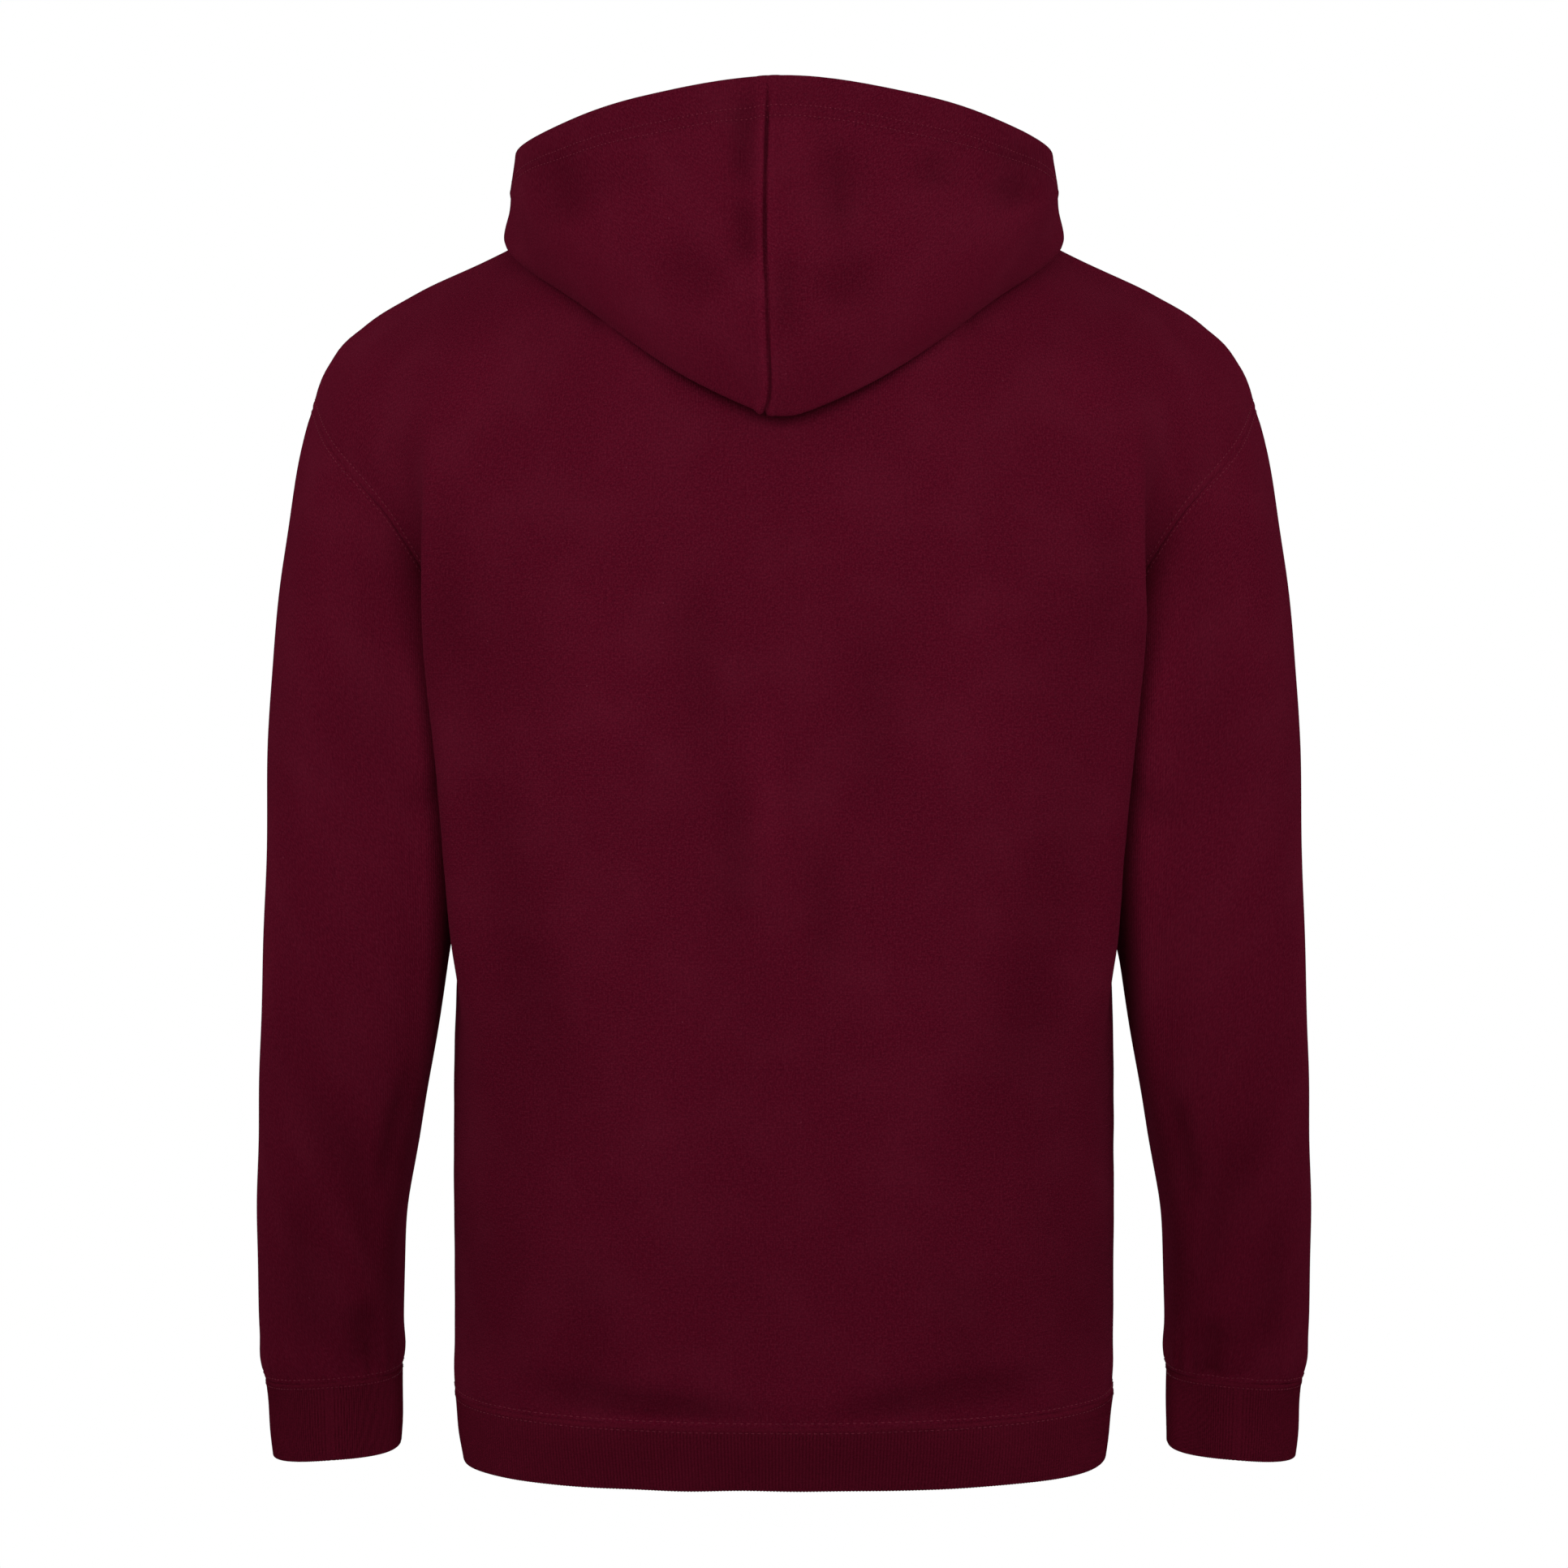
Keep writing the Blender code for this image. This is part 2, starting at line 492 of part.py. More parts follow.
def prism_faces(count):
    """The faces between an outline of so many points and the same outline repeated after it."""
    ends = [list(range(count)), list(range(2 * count - 1, count - 1, -1))]
    return ends + [[i, i + count, (i + 1) % count + count, (i + 1) % count] for i in range(count)]


def pull_piece(metal):
    """The pull round its own hinge axis, hanging down: a bar, two arms and a tab with round corners."""
    half, narrow, corner = PULL_HALF_WIDTH, PULL_END_HALF_WIDTH, PULL_CORNER
    window, length, bar = PULL_WINDOW, PULL_LENGTH, PULL_BAR_RADIUS
    thick = PULL_THICKNESS / 2
    outline = [(-half, bar), (half, bar), (half, -window), (narrow, -length + corner),
               (narrow - corner, -length), (-narrow + corner, -length), (-narrow, -length + corner),
               (-half, -window)]
    points = [(x, y, z) for y in (-thick, thick) for x, z in outline]
    pull = outward(add_object("zip_pull", points, prism_faces(len(outline)), metal))
    inner = half - PULL_ARM_WIDTH
    window_cut = add_block("pull_window", (-inner, inner), (-2 * thick, 2 * thick), (-window, -bar), metal)
    cut = pull.modifiers.new("window", "BOOLEAN")
    cut.operation = "DIFFERENCE"
    cut.object = window_cut
    window_cut.hide_render = True
    window_cut.display_type = "WIRE"
    return pull


def add_zip(front, rib, metal, tape):
    line, out = zip_line(front, rib)
    total = np.linalg.norm(np.diff(line, axis=0), axis=1).sum()
    slider_at = total - SLIDER_FROM_TOP
    tape_line, tape_out = stretch(line, out, TAPE_ENDS, total - TAPE_ENDS)
    add_strip("zip_tape_left", tape_line, tape_out, TAPE_INNER, TAPE_OUTER, TAPE_DEPTHS, tape)
    add_strip("zip_tape_right", tape_line, tape_out, -TAPE_OUTER, -TAPE_INNER, TAPE_DEPTHS, tape)
    box_end = BOX_FOOT + BOX_LENGTH
    box_line, box_out = stretch(line, out, BOX_FOOT, box_end)
    add_strip("zip_box", box_line, box_out, -BOX_HALF_WIDTH, BOX_HALF_WIDTH, BOX_DEPTHS, metal)
    chain_end = slider_at + SLIDER_LENGTH / 2 - POST_LENGTH - 2 * SEAM_GAP
    chain_line, chain_out = stretch(line, out, box_end + 2 * SEAM_GAP, chain_end)
    add_strip("zip_chain", chain_line, chain_out, -CHAIN_HALF_WIDTH, CHAIN_HALF_WIDTH, CHAIN_DEPTHS, metal)

    (place, *_), (facing, *_) = stretch(line, out, slider_at, total)
    lean = math.atan2(facing[2], -facing[1])
    seat = bpy.data.objects.new("slider_seat", None)
    bpy.context.collection.objects.link(seat)
    seat.location = place
    seat.rotation_euler = (-lean, 0, 0)
    before = set(bpy.data.objects)
    slider_pieces(metal)
    pull = pull_piece(metal)
    pull.location = (0, -PULL_AXIS_OUT, -PULL_AXIS_DOWN)
    for obj in set(bpy.data.objects) - before:
        obj.parent = seat
    bpy.data.objects["pull_window"].parent = pull


# ---- Walls ----
def grid_normals(skin, closed):
    """Normals at a skin's points, each the sum of its faces' normals by area."""
    ring = np.concatenate([skin, skin[:, :1]], axis=1) if closed else skin
    a, b, c, d = ring[:-1, :-1], ring[:-1, 1:], ring[1:, 1:], ring[1:, :-1]
    face = np.cross(c - a, d - b)
    total = np.zeros_like(ring)
    for rows, columns in ((slice(0, -1), slice(0, -1)), (slice(0, -1), slice(1, None)),
                          (slice(1, None), slice(1, None)), (slice(1, None), slice(0, -1))):
        total[rows, columns] += face
    if closed:
        total[:, 0] += total[:, -1]
        total = total[:, :-1]
    return total


Skin = namedtuple("Skin", "points closed thickness material")


def inward_steps(skins):
    """For every point of the skins, the step of one thickness through the wall, longer at a sharp seam.

    Skins that meet at a point share the step there. Where a ring starts, at the armhole, it halves the angle
    between the ring and the other pieces and stands square to the seam.
    """
    def key(point):
        return tuple(np.round(point, 6))

    def unit(vectors):
        return vectors / np.maximum(np.linalg.norm(vectors, axis=-1, keepdims=True), 1e-12)

    own = {name: unit(grid_normals(skin.points, skin.closed)) for name, skin in skins.items()}
    sums, counts = {}, {}
    for name, skin in skins.items():
        for point, normal in zip(skin.points.reshape(-1, 3), own[name].reshape(-1, 3)):
            sums[key(point)] = sums.get(key(point), 0) + normal
            counts[key(point)] = counts.get(key(point), 0) + 1
    for name, skin in skins.items():
        if skin.closed:
            seam = skin.points[0]
            along = unit(np.roll(seam, -1, axis=0) - np.roll(seam, 1, axis=0))
            for point, tangent, normal in zip(seam, along, own[name][0]):
                total = normal + unit(sums[key(point)] - normal)
                sums[key(point)], counts[key(point)] = total - tangent * np.dot(total, tangent), 2

    def step(point):
        total = sums[key(point)]
        size = np.linalg.norm(total)
        return -total / size / max(size / counts[key(point)], MITRE_LIMIT)

    return {name: np.array([step(p) for p in skin.points.reshape(-1, 3)]).reshape(skin.points.shape)
            for name, skin in skins.items()}


def trim(skin, steps, closed):
    """Moves the skin's edges half a seam gap back from their seams, within the skin."""
    points = skin.copy()
    normals = steps / np.linalg.norm(steps, axis=2, keepdims=True)

    def pull_back(edge, inner, along, normal):
        away = inner - edge
        for direction in (normal, along):
            away = away - direction * np.sum(away * direction, axis=1, keepdims=True)
        return away / np.maximum(np.linalg.norm(away, axis=1, keepdims=True), 1e-9) * SEAM_GAP / 2

    def unit_along(edge, loop):
        step = np.roll(edge, -1, axis=0) - np.roll(edge, 1, axis=0) if loop else np.gradient(edge, axis=0)
        return step / np.linalg.norm(step, axis=1, keepdims=True)

    points[0] += pull_back(skin[0], skin[1], unit_along(skin[0], closed), normals[0])
    points[-1] += pull_back(skin[-1], skin[-2], unit_along(skin[-1], closed), normals[-1])
    if not closed:
        points[:, 0] += pull_back(skin[:, 0], skin[:, 1], unit_along(skin[:, 0], False), normals[:, 0])
        points[:, -1] += pull_back(skin[:, -1], skin[:, -2], unit_along(skin[:, -1], False), normals[:, -1])
    return points


def add_wall(name, skin, steps):
    """A closed wall: the skin, the same grid moved in by the thickness, and the rims between them.

    Every quad is split along its shorter diagonal, on the inside as on the outside.
    """
    outer = trim(skin.points, steps, skin.closed)
    inner = outer + steps * skin.thickness
    rows, columns = outer.shape[:2]
    spans = columns if skin.closed else columns - 1
    points = np.concatenate([outer.reshape(-1, 3), inner.reshape(-1, 3)])

    def at(layer, row, column):
        return (layer * rows + row) * columns + column % columns

    def split(a, b, c, d):
        short = np.linalg.norm(points[a] - points[c]) <= np.linalg.norm(points[b] - points[d])
        return [(0, 1, 2), (0, 2, 3)] if short else [(0, 1, 3), (1, 2, 3)]

    faces = []
    for row in range(rows - 1):
        for column in range(spans):
            corners = [(row, column), (row, column + 1), (row + 1, column + 1), (row + 1, column)]
            outside, inside = ([at(layer, *corner) for corner in corners] for layer in (0, 1))
            for triangle in split(*outside):
                faces += [[outside[i] for i in triangle], [inside[i] for i in reversed(triangle)]]

    top_and_bottom = [[(0, column), (rows - 1, column)] for column in range(spans + 1)]
    first_and_last = [[(row, columns - 1), (row, 0)] for row in range(rows)] if not skin.closed else []
    for line in (top_and_bottom, first_and_last):
        for (a0, b0), (a1, b1) in zip(line, line[1:]):
            for start, end in ((a1, a0), (b0, b1)):
                rim = [at(0, *start), at(0, *end), at(1, *end), at(1, *start)]
                faces += [[rim[i] for i in triangle] for triangle in split(*rim)]
    return add_object(name, points, faces, skin.material)


def add_object(name, points, faces, finish):
    mesh = bpy.data.meshes.new(name)
    mesh.from_pydata(np.asarray(points, float).tolist(), [], faces)
    mesh.materials.append(finish)
    mesh.shade_smooth()
    mesh.set_sharp_from_angle(angle=math.radians(50))
    obj = bpy.data.objects.new(name, mesh)
    bpy.context.collection.objects.link(obj)
    return obj


def material(name, hex_colour, roughness, metallic=0.0):
    def linear(channel):
        value = channel / 255
        return value / 12.92 if value <= 0.04045 else ((value + 0.055) / 1.055) ** 2.4

    made = bpy.data.materials.new(name)
    made.use_nodes = True
    shader = made.node_tree.nodes["Principled BSDF"]
    colour = [linear(int(hex_colour[i:i + 2], 16)) for i in (0, 2, 4)]
    shader.inputs["Base Color"].default_value = (*colour, 1.0)
    shader.inputs["Roughness"].default_value = roughness
    shader.inputs["Metallic"].default_value = metallic
    return made


def main():
    for old in list(bpy.data.objects):
        bpy.data.objects.remove(old)

    fleece = material("fleece", "4E0D1E", 0.9)
    ribbing = material("ribbing", "3B0815", 0.9)
    tape = material("zip_tape", "4E0D1E", 0.8)
    metal = material("zip_metal", "9A9C9E", 0.35, 1.0)

    back_half, front = half_panel(1), half_panel(-1)
    back = np.concatenate([mirrored(back_half)[:, :-1], back_half], axis=1)
    sleeve = left_sleeve(back_half, front)
    cuff = np.concatenate([sleeve[-1:], [sleeve_ring(row, sleeve.shape[1]) for row in CUFF_ROWS]])
    hood = left_hood(back_half, front)
    rib = ribbed_hem(back_half, front)

    skins = {
        "back": Skin(back[:, ::-1], False, FLEECE, fleece),
        "front_left": Skin(front, False, FLEECE, fleece),
        "front_right": Skin(mirrored(front), False, FLEECE, fleece),
        "hem_rib": Skin(rib, False, RIBBING, ribbing),
        "hood_left": Skin(hang_hood_seam(hood.copy()), False, HOOD_FLEECE, fleece),
        "hood_right": Skin(hang_hood_seam(mirrored(hood)), False, HOOD_FLEECE, fleece),
        "sleeve_left": Skin(sleeve, True, FLEECE, fleece),
        "sleeve_right": Skin(mirrored(sleeve), True, FLEECE, fleece),
        "cuff_left": Skin(cuff, True, RIBBING, ribbing),
        "cuff_right": Skin(mirrored(cuff), True, RIBBING, ribbing),
    }
    steps = inward_steps(skins)
    for name, skin in skins.items():
        add_wall(name, skin, steps[name])
    add_zip(front, rib, metal, tape)


main()
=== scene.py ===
"""The looks of a zip up hoodie in burgundy sweatshirt fleece, filled out as when it is worn.

Every cloth piece is a thin shell on the form of its solid: the same sections, read at fine steps, with the
seams, creases and ribs of the real cloth raised from it. Threads and zip teeth are repeated with Geometry
Nodes.

Metres. +Z is up, the front faces -Y and the wearer's left is +X.
"""
from collections import namedtuple
import math

import bmesh
import bpy
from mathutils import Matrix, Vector
import numpy as np


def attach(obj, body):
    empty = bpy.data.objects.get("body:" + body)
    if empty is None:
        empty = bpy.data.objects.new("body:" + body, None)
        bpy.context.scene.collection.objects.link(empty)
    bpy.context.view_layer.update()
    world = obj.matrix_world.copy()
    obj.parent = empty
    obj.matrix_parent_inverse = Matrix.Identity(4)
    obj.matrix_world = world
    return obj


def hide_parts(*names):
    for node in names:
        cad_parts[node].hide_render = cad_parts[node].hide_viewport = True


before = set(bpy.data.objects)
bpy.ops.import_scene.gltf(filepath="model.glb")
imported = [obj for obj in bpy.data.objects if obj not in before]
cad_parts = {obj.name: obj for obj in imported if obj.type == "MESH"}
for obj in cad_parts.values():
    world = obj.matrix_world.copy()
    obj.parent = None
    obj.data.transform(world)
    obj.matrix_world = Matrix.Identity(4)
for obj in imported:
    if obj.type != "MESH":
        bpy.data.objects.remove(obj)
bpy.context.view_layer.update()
GARMENT, PULL = "garment", "pull"

MIRROR = np.array([-1.0, 1.0, 1.0])
UP = np.array([0.0, 0.0, 1.0])
LEVEL = np.array([1, 1, 0])
# The right pieces are the left ones with their columns turned round. The near column is the front's at the
# zip, the hood's in front and the back's at its side. The far one is the front's at its side and the hood's
# behind.
SIDES = ("left", "right")
NEAR = {"left": "first", "right": "last"}
FAR = {"left": "last", "right": "first"}

# ---- Driving sizes, the same as the solids' ----
HEM_SEAM_Z = -0.681
UNDERARM_Z = -0.272
NECK_HALF_WIDTH = 0.100
NECK_BACK = 0.072
NECK_FRONT = 0.088
NECK_DROP_BACK = 0.018
NECK_DROP_FRONT = 0.085
NECK_BACK_SWELL, NECK_FRONT_SWELL = 0.11, -0.09
RISE_PULL = 1.3              # how strongly a panel's lines leave the underarm's level
TOP_PULL, LEAST_TOP_PULL = 1.5, 0.05     # and arrive at the top, to each metre that they come inward
EASED_ROWS, EASE_FROM_SIDE, EASE_PASSES = 16.0, 0.04, 90     # the smoothing at the underarm's level
ZIP_SLOT = 0.0045
ZIP_SLOT_REACH = 0.35
SIDE_FOLD_TURN = 36.0
SIDE_FOLD_SPREAD = 15.0
FRONT_FOLD_SHARE = 0.6
UNDERARM_STEP = 0.018
SLEEVE_TILT = math.tan(math.radians(4.0))
SLEEVE_HEAD_BULGE = 0.030
SLEEVE_FLATNESS = 0.76       # 1 makes the sleeves' sections ellipses, less makes them squarer
NECK_SHARE_BACK = 5 / 14     # the neckline's share of a half panel's width at the top
NECK_SHARE_FRONT = 6 / 15

# ---- Rough lengths of the lines that the cloth's steps are set out along ----
ARMHOLE_LENGTH = 0.30
SHOULDER_LENGTH = 0.19
NECK_BACK_LENGTH, NECK_FRONT_LENGTH = 0.112, 0.135
SLEEVE_HEAD_LENGTH = 0.14
HOOD_UNDER_LENGTH, HOOD_OUTER_LENGTH = 0.22, 0.24
FINE = 120                   # points of a line before it is stepped by its length

# ---- The cloth's own sizes ----
SEAM_GAP = 0.00002           # the seam's thread draws the edges together
FLEECE = 0.0017              # walls, a little thinner than the solids
HOOD_FLEECE = 0.0024
RIBBING = 0.0020
CLOTH_STEP = 0.0040          # spacing of the cloth's grid, finer beside seams
SEAM_MARKS = (0.0, 0.0008, 0.0016, 0.0024, 0.0032, 0.0041, 0.0051, 0.0063, 0.0078, 0.0098, 0.0125)
BAND_MARKS = (0, 0.02, 0.04, 0.06, 0.085, 0.11, 0.15)     # shares of a rib band's height, beside its seam
HEM_RIB_PITCH = 0.0019
CUFF_RIB_PITCH = 0.0015
RIB_HEIGHT = 0.00055
RIB_COLUMNS = 5              # grid columns to each rib
PAINTED_SHADE = 0.26             # how much the colour is painted darker in hollows and lighter on ridges, as shade and light, at 2.5 mm of relief
ARMHOLE_BODY_ROW = 0.0048    # how far each row of stitches stands from its seam
ARMHOLE_SLEEVE_ROW = 0.0018
HEM_BODY_ROW, HEM_RIB_ROW = 0.0024, 0.0032
CUFF_SLEEVE_ROW, CUFF_RIB_ROW = 0.0026, 0.0034
ZIP_ROW = 0.0062
CASING_ROWS = (0.0170, 0.0232)
HOOD_GROOVE = 0.0021         # how deep the hood's centre seam is drawn in
Blouse = namedtuple("Blouse", "height at width")
HEM_BLOUSE = Blouse(0.0012, 0.014, 0.009)    # the cloth stands out above the seams of the bands
CUFF_BLOUSE = Blouse(0.0013, 0.012, 0.010)
THREAD_LIFT = 0.00012        # how far a stitch's middle is off the cloth
THREAD_RADIUS = 0.00035
SEAM_CALM = 0.02             # creases die out towards side and armhole seams over this length
BAND_CALM = 0.005            # and towards the seams of the bands over this one
TURN_ARC = 0.00085           # length round a sleeve to each degree of turn
RIM_ANGLES = (60, 25, -25, -60)     # where a free edge's rounding has its points

# ---- The zip, as the solids have it ----
TAPE_INNER, TAPE_OUTER = 0.0020, 0.0140
TAPE_DEPTH = 0.0026
TAPE_THICKNESS = 0.0008
TAPE_WAVE = 0.0002           # how far the tape waves to and fro across its width
TAPE_WAVE_PACE = 900         # radians of that wave to a metre
TOOTH_DEPTH = 0.00115        # the middle of the chain, behind the cloth's face
TOOTH_PITCH = 0.0024
BOX_LENGTH = 0.0090
SLIDER_FROM_TOP = 0.0150
TEETH_APART = 0.0012         # above the slider, from the middle to each row

BodyRow = namedtuple("BodyRow", "z half_width back front roundness side_y fold")
BODY_ROWS = (
    BodyRow(-0.681, 0.1896, 0.1300, 0.1240, 2.25, 0.000, 0.000),
    BodyRow(-0.620, 0.1896, 0.1305, 0.1260, 2.30, 0.000, 0.000),
    BodyRow(-0.550, 0.1894, 0.1310, 0.1280, 2.35, 0.000, 0.001),
    BodyRow(-0.490, 0.1890, 0.1315, 0.1290, 2.35, -0.001, 0.008),
    BodyRow(-0.420, 0.1856, 0.1320, 0.1300, 2.32, -0.003, 0.0270),
    BodyRow(-0.372, 0.1780, 0.1330, 0.1300, 2.30, -0.005, 0.0385),
    BodyRow(-0.340, 0.1735, 0.1335, 0.1295, 2.30, -0.006, 0.0460),
    BodyRow(-0.300, 0.1705, 0.1340, 0.1285, 2.30, -0.007, 0.0520),
    BodyRow(-0.272, 0.1720, 0.1335, 0.1275, 2.30, -0.008, 0.0530),
)
RIB_ROWS = (
    BodyRow(-0.691, 0.1884, 0.1270, 0.1215, 2.35, 0.000, 0.000),
    BodyRow(-0.708, 0.1866, 0.1205, 0.1155, 2.50, 0.000, 0.000),
    BodyRow(-0.7188, 0.1850, 0.1165, 0.1120, 2.60, 0.000, 0.000),
)

CentreRow = namedtuple("CentreRow", "z y")
CENTRE_BACK = (
    CentreRow(-0.018, 0.0720),
    CentreRow(-0.060, 0.0980),
    CentreRow(-0.120, 0.1190),
    CentreRow(-0.200, 0.1315),
    CentreRow(-0.272, 0.1335),
)
CENTRE_FRONT = (
    CentreRow(-0.085, -0.0880),
    CentreRow(-0.115, -0.1010),
    CentreRow(-0.155, -0.1140),
    CentreRow(-0.210, -0.1240),
    CentreRow(-0.272, -0.1275),
)

ShoulderRow = namedtuple("ShoulderRow", "x y z")
SHOULDER_ROWS = (
    ShoulderRow(0.1000, 0.000, 0.0000),
    ShoulderRow(0.1350, 0.000, -0.0170),
    ShoulderRow(0.1710, 0.000, -0.0350),
    ShoulderRow(0.2106, 0.000, -0.0535),
    ShoulderRow(0.2390, -0.001, -0.0715),
    ShoulderRow(0.2570, -0.001, -0.0894),
    ShoulderRow(0.2662, -0.002, -0.1075),
    ShoulderRow(0.2690, -0.002, -0.1180),
)

ArmholeRow = namedtuple("ArmholeRow", "turn x y z")
ARMHOLE_ROWS = (
    ArmholeRow(0, 0.2690, -0.002, -0.118),
    ArmholeRow(45, 0.2545, 0.042, -0.1425),
    ArmholeRow(90, 0.2205, 0.062, -0.181),
    ArmholeRow(135, 0.1880, 0.044, -0.236),
    ArmholeRow(180, 0.1720, -0.008, -0.272),
    ArmholeRow(225, 0.1840, -0.052, -0.238),
    ArmholeRow(270, 0.2140, -0.070, -0.186),
    ArmholeRow(315, 0.2520, -0.048, -0.141),
    ArmholeRow(360, 0.2690, -0.002, -0.118),
)

SleeveRow = namedtuple("SleeveRow", "z x y across deep")
SLEEVE_ROWS = (
    SleeveRow(-0.320, 0.2367, -0.0020, 0.0579, 0.0710),
    SleeveRow(-0.360, 0.2389, -0.0010, 0.0566, 0.0680),
    SleeveRow(-0.400, 0.2424, -0.0020, 0.0554, 0.0645),
    SleeveRow(-0.440, 0.2463, -0.0050, 0.0527, 0.0610),
    SleeveRow(-0.488, 0.2518, -0.0120, 0.0498, 0.0575),
    SleeveRow(-0.535, 0.2567, -0.0190, 0.0466, 0.0545),
    SleeveRow(-0.581, 0.2616, -0.0275, 0.0441, 0.0515),
    SleeveRow(-0.628, 0.2644, -0.0380, 0.0420, 0.0485),
    SleeveRow(-0.660, 0.2647, -0.0450, 0.0409, 0.0460),
    SleeveRow(-0.6805, 0.2640, -0.0490, 0.0394, 0.0440),
)
CUFF_ROWS = (
    SLEEVE_ROWS[-1],
    SleeveRow(-0.691, 0.2636, -0.0510, 0.0389, 0.0430),
    SleeveRow(-0.712, 0.2634, -0.0530, 0.0384, 0.0420),
    SleeveRow(-0.7270, 0.2629, -0.0540, 0.0372, 0.0410),
)

HoodRow = namedtuple("HoodRow", "turn roll under fold outer edge")
HOOD_ROWS = (
    HoodRow(0, 0.0046, (0.0000, 0.1110, -0.0590), (0.0000, 0.1430, -0.1290),
            (0.0000, 0.1690, -0.0480), (0.0000, 0.1300, 0.0610)),
    HoodRow(30, 0.0046, (0.0540, 0.1085, -0.0500), (0.0560, 0.1290, -0.1005),
            (0.0860, 0.1330, -0.0360), (0.0770, 0.1110, 0.0510)),
    HoodRow(60, 0.0048, (0.1040, 0.0715, -0.0240), (0.1115, 0.0925, -0.0620),
            (0.1400, 0.0840, -0.0120), (0.1285, 0.0640, 0.0365)),
    HoodRow(90, 0.0030, (0.1290, 0.0060, -0.0040), (0.1535, 0.0240, -0.0300),
            (0.1550, 0.0110, -0.0040), (0.1515, 0.0140, 0.0240)),
    HoodRow(105, 0.0035, (0.1230, -0.0215, -0.0105), (0.1475, -0.0160, -0.0200),
            (0.1515, -0.0150, -0.0060), (0.1470, -0.0080, 0.0190)),
    HoodRow(120, 0.0060, (0.1130, -0.0470, -0.0240), (0.1330, -0.0500, -0.0385),
            (0.1450, -0.0400, -0.0160), (0.1370, -0.0300, 0.0100)),
    HoodRow(150, 0.0040, (0.0660, -0.0840, -0.0660), (0.0800, -0.0930, -0.0740),
            (0.0940, -0.0940, -0.0460), (0.0880, -0.0860, -0.0220)),
    HoodRow(180, 0.0015, (0.0045, -0.0920, -0.0845), (0.0045, -0.0955, -0.0830),
            (0.0040, -0.1060, -0.0700), (0.0032, -0.1060, -0.0540)),
)
HOOD_KEYS = (0.0, 0.06, 0.25, 0.42, 0.46, 0.50, 0.72, 1.0)
HOOD_FOLD = 0.46             # share of each line where the hood's lower fold lies
TIP_SLOPE, TIP_RADIUS, TIP_REACH = 0.60, 0.010, 0.10
SEAM_SHIFT_BEHIND = 0.10     # how far behind the neck the hood's seam is pulled all the way
SEAM_SHIFT_REACH = 0.16      # half the width over which it is

# How far the hood's centre seam hangs aside, at steps from the neck seam to the edge of the face opening.
SeamRow = namedtuple("SeamRow", "step aside")
SEAM_ROWS = (
    SeamRow(0.00, 0.0000),
    SeamRow(0.25, 0.0085),
    SeamRow(0.42, 0.0108),
    SeamRow(0.48, 0.0110),
    SeamRow(0.54, 0.0086),
    SeamRow(0.66, 0.0092),
    SeamRow(0.80, 0.0104),
    SeamRow(0.90, 0.0098),
    SeamRow(1.00, 0.0084),
)

# Creases of a panel: from one place to another across (x) and up (z), how far the middle bows sideways, the
# half width and the height of a ridge, or minus the depth of a trough. The heights also paint the cloth's
# colour, troughs darker and ridges lighter, as painted shade and light.
Crease = namedtuple("Crease", "x0 z0 x1 z1 bow width height")
BACK_CREASES = (
    # The first two troughs lie just under the hood's lower edge, there to paint the hood's shadow on the
    # back.
    Crease(0.095, -0.075, 0.004, -0.131, 0.000, 0.006, -0.0013),
    Crease(-0.092, -0.075, -0.004, -0.131, 0.000, 0.006, -0.0012),
    Crease(0.011, -0.270, 0.004, -0.390, 0.003, 0.010, 0.0012),
    Crease(0.048, -0.200, 0.040, -0.320, 0.003, 0.013, -0.0010),
    Crease(0.029, -0.310, 0.031, -0.420, -0.003, 0.012, -0.0012),
    Crease(-0.046, -0.230, -0.048, -0.350, -0.003, 0.013, -0.0010),
    Crease(-0.022, -0.350, -0.026, -0.440, 0.003, 0.011, -0.0011),
    Crease(0.066, -0.340, 0.070, -0.560, -0.006, 0.022, 0.0004),
    Crease(-0.064, -0.370, -0.072, -0.550, 0.005, 0.022, 0.0004),
    Crease(0.118, -0.190, 0.104, -0.340, -0.006, 0.034, 0.0009),
    Crease(-0.116, -0.200, -0.108, -0.340, 0.005, 0.032, 0.0009),
    Crease(0.147, -0.385, 0.150, -0.600, 0.004, 0.020, -0.0009),
    Crease(0.172, -0.290, 0.108, -0.540, 0.004, 0.020, -0.0012),
    Crease(-0.139, -0.400, -0.146, -0.590, -0.005, 0.021, -0.0009),
    Crease(-0.166, -0.300, -0.104, -0.550, -0.003, 0.021, -0.0012),
    Crease(0.185, -0.150, 0.180, -0.260, 0.003, 0.013, -0.0010),
    Crease(-0.178, -0.160, -0.172, -0.255, -0.003, 0.013, -0.0010),
    Crease(0.150, -0.560, 0.147, -0.672, 0.003, 0.018, -0.0010),
    Crease(0.182, -0.550, 0.176, -0.672, -0.002, 0.016, -0.0012),
    Crease(0.160, -0.075, 0.176, -0.130, 0.002, 0.018, 0.0009),
    Crease(0.110, -0.580, 0.104, -0.668, 0.003, 0.020, -0.0012),
    Crease(-0.146, -0.550, -0.143, -0.670, -0.003, 0.019, -0.0009),
    Crease(-0.180, -0.570, -0.175, -0.672, 0.002, 0.017, -0.0012),
    Crease(-0.156, -0.078, -0.174, -0.125, 0.002, 0.019, 0.0009),
    Crease(-0.100, -0.590, -0.104, -0.672, 0.002, 0.020, -0.0011),
    # These two troughs just above the hem's seam paint a band of shade there.
    Crease(0.160, -0.660, 0.010, -0.673, 0.002, 0.010, -0.0028),
    Crease(-0.020, -0.673, -0.160, -0.661, -0.002, 0.010, -0.0028),
)
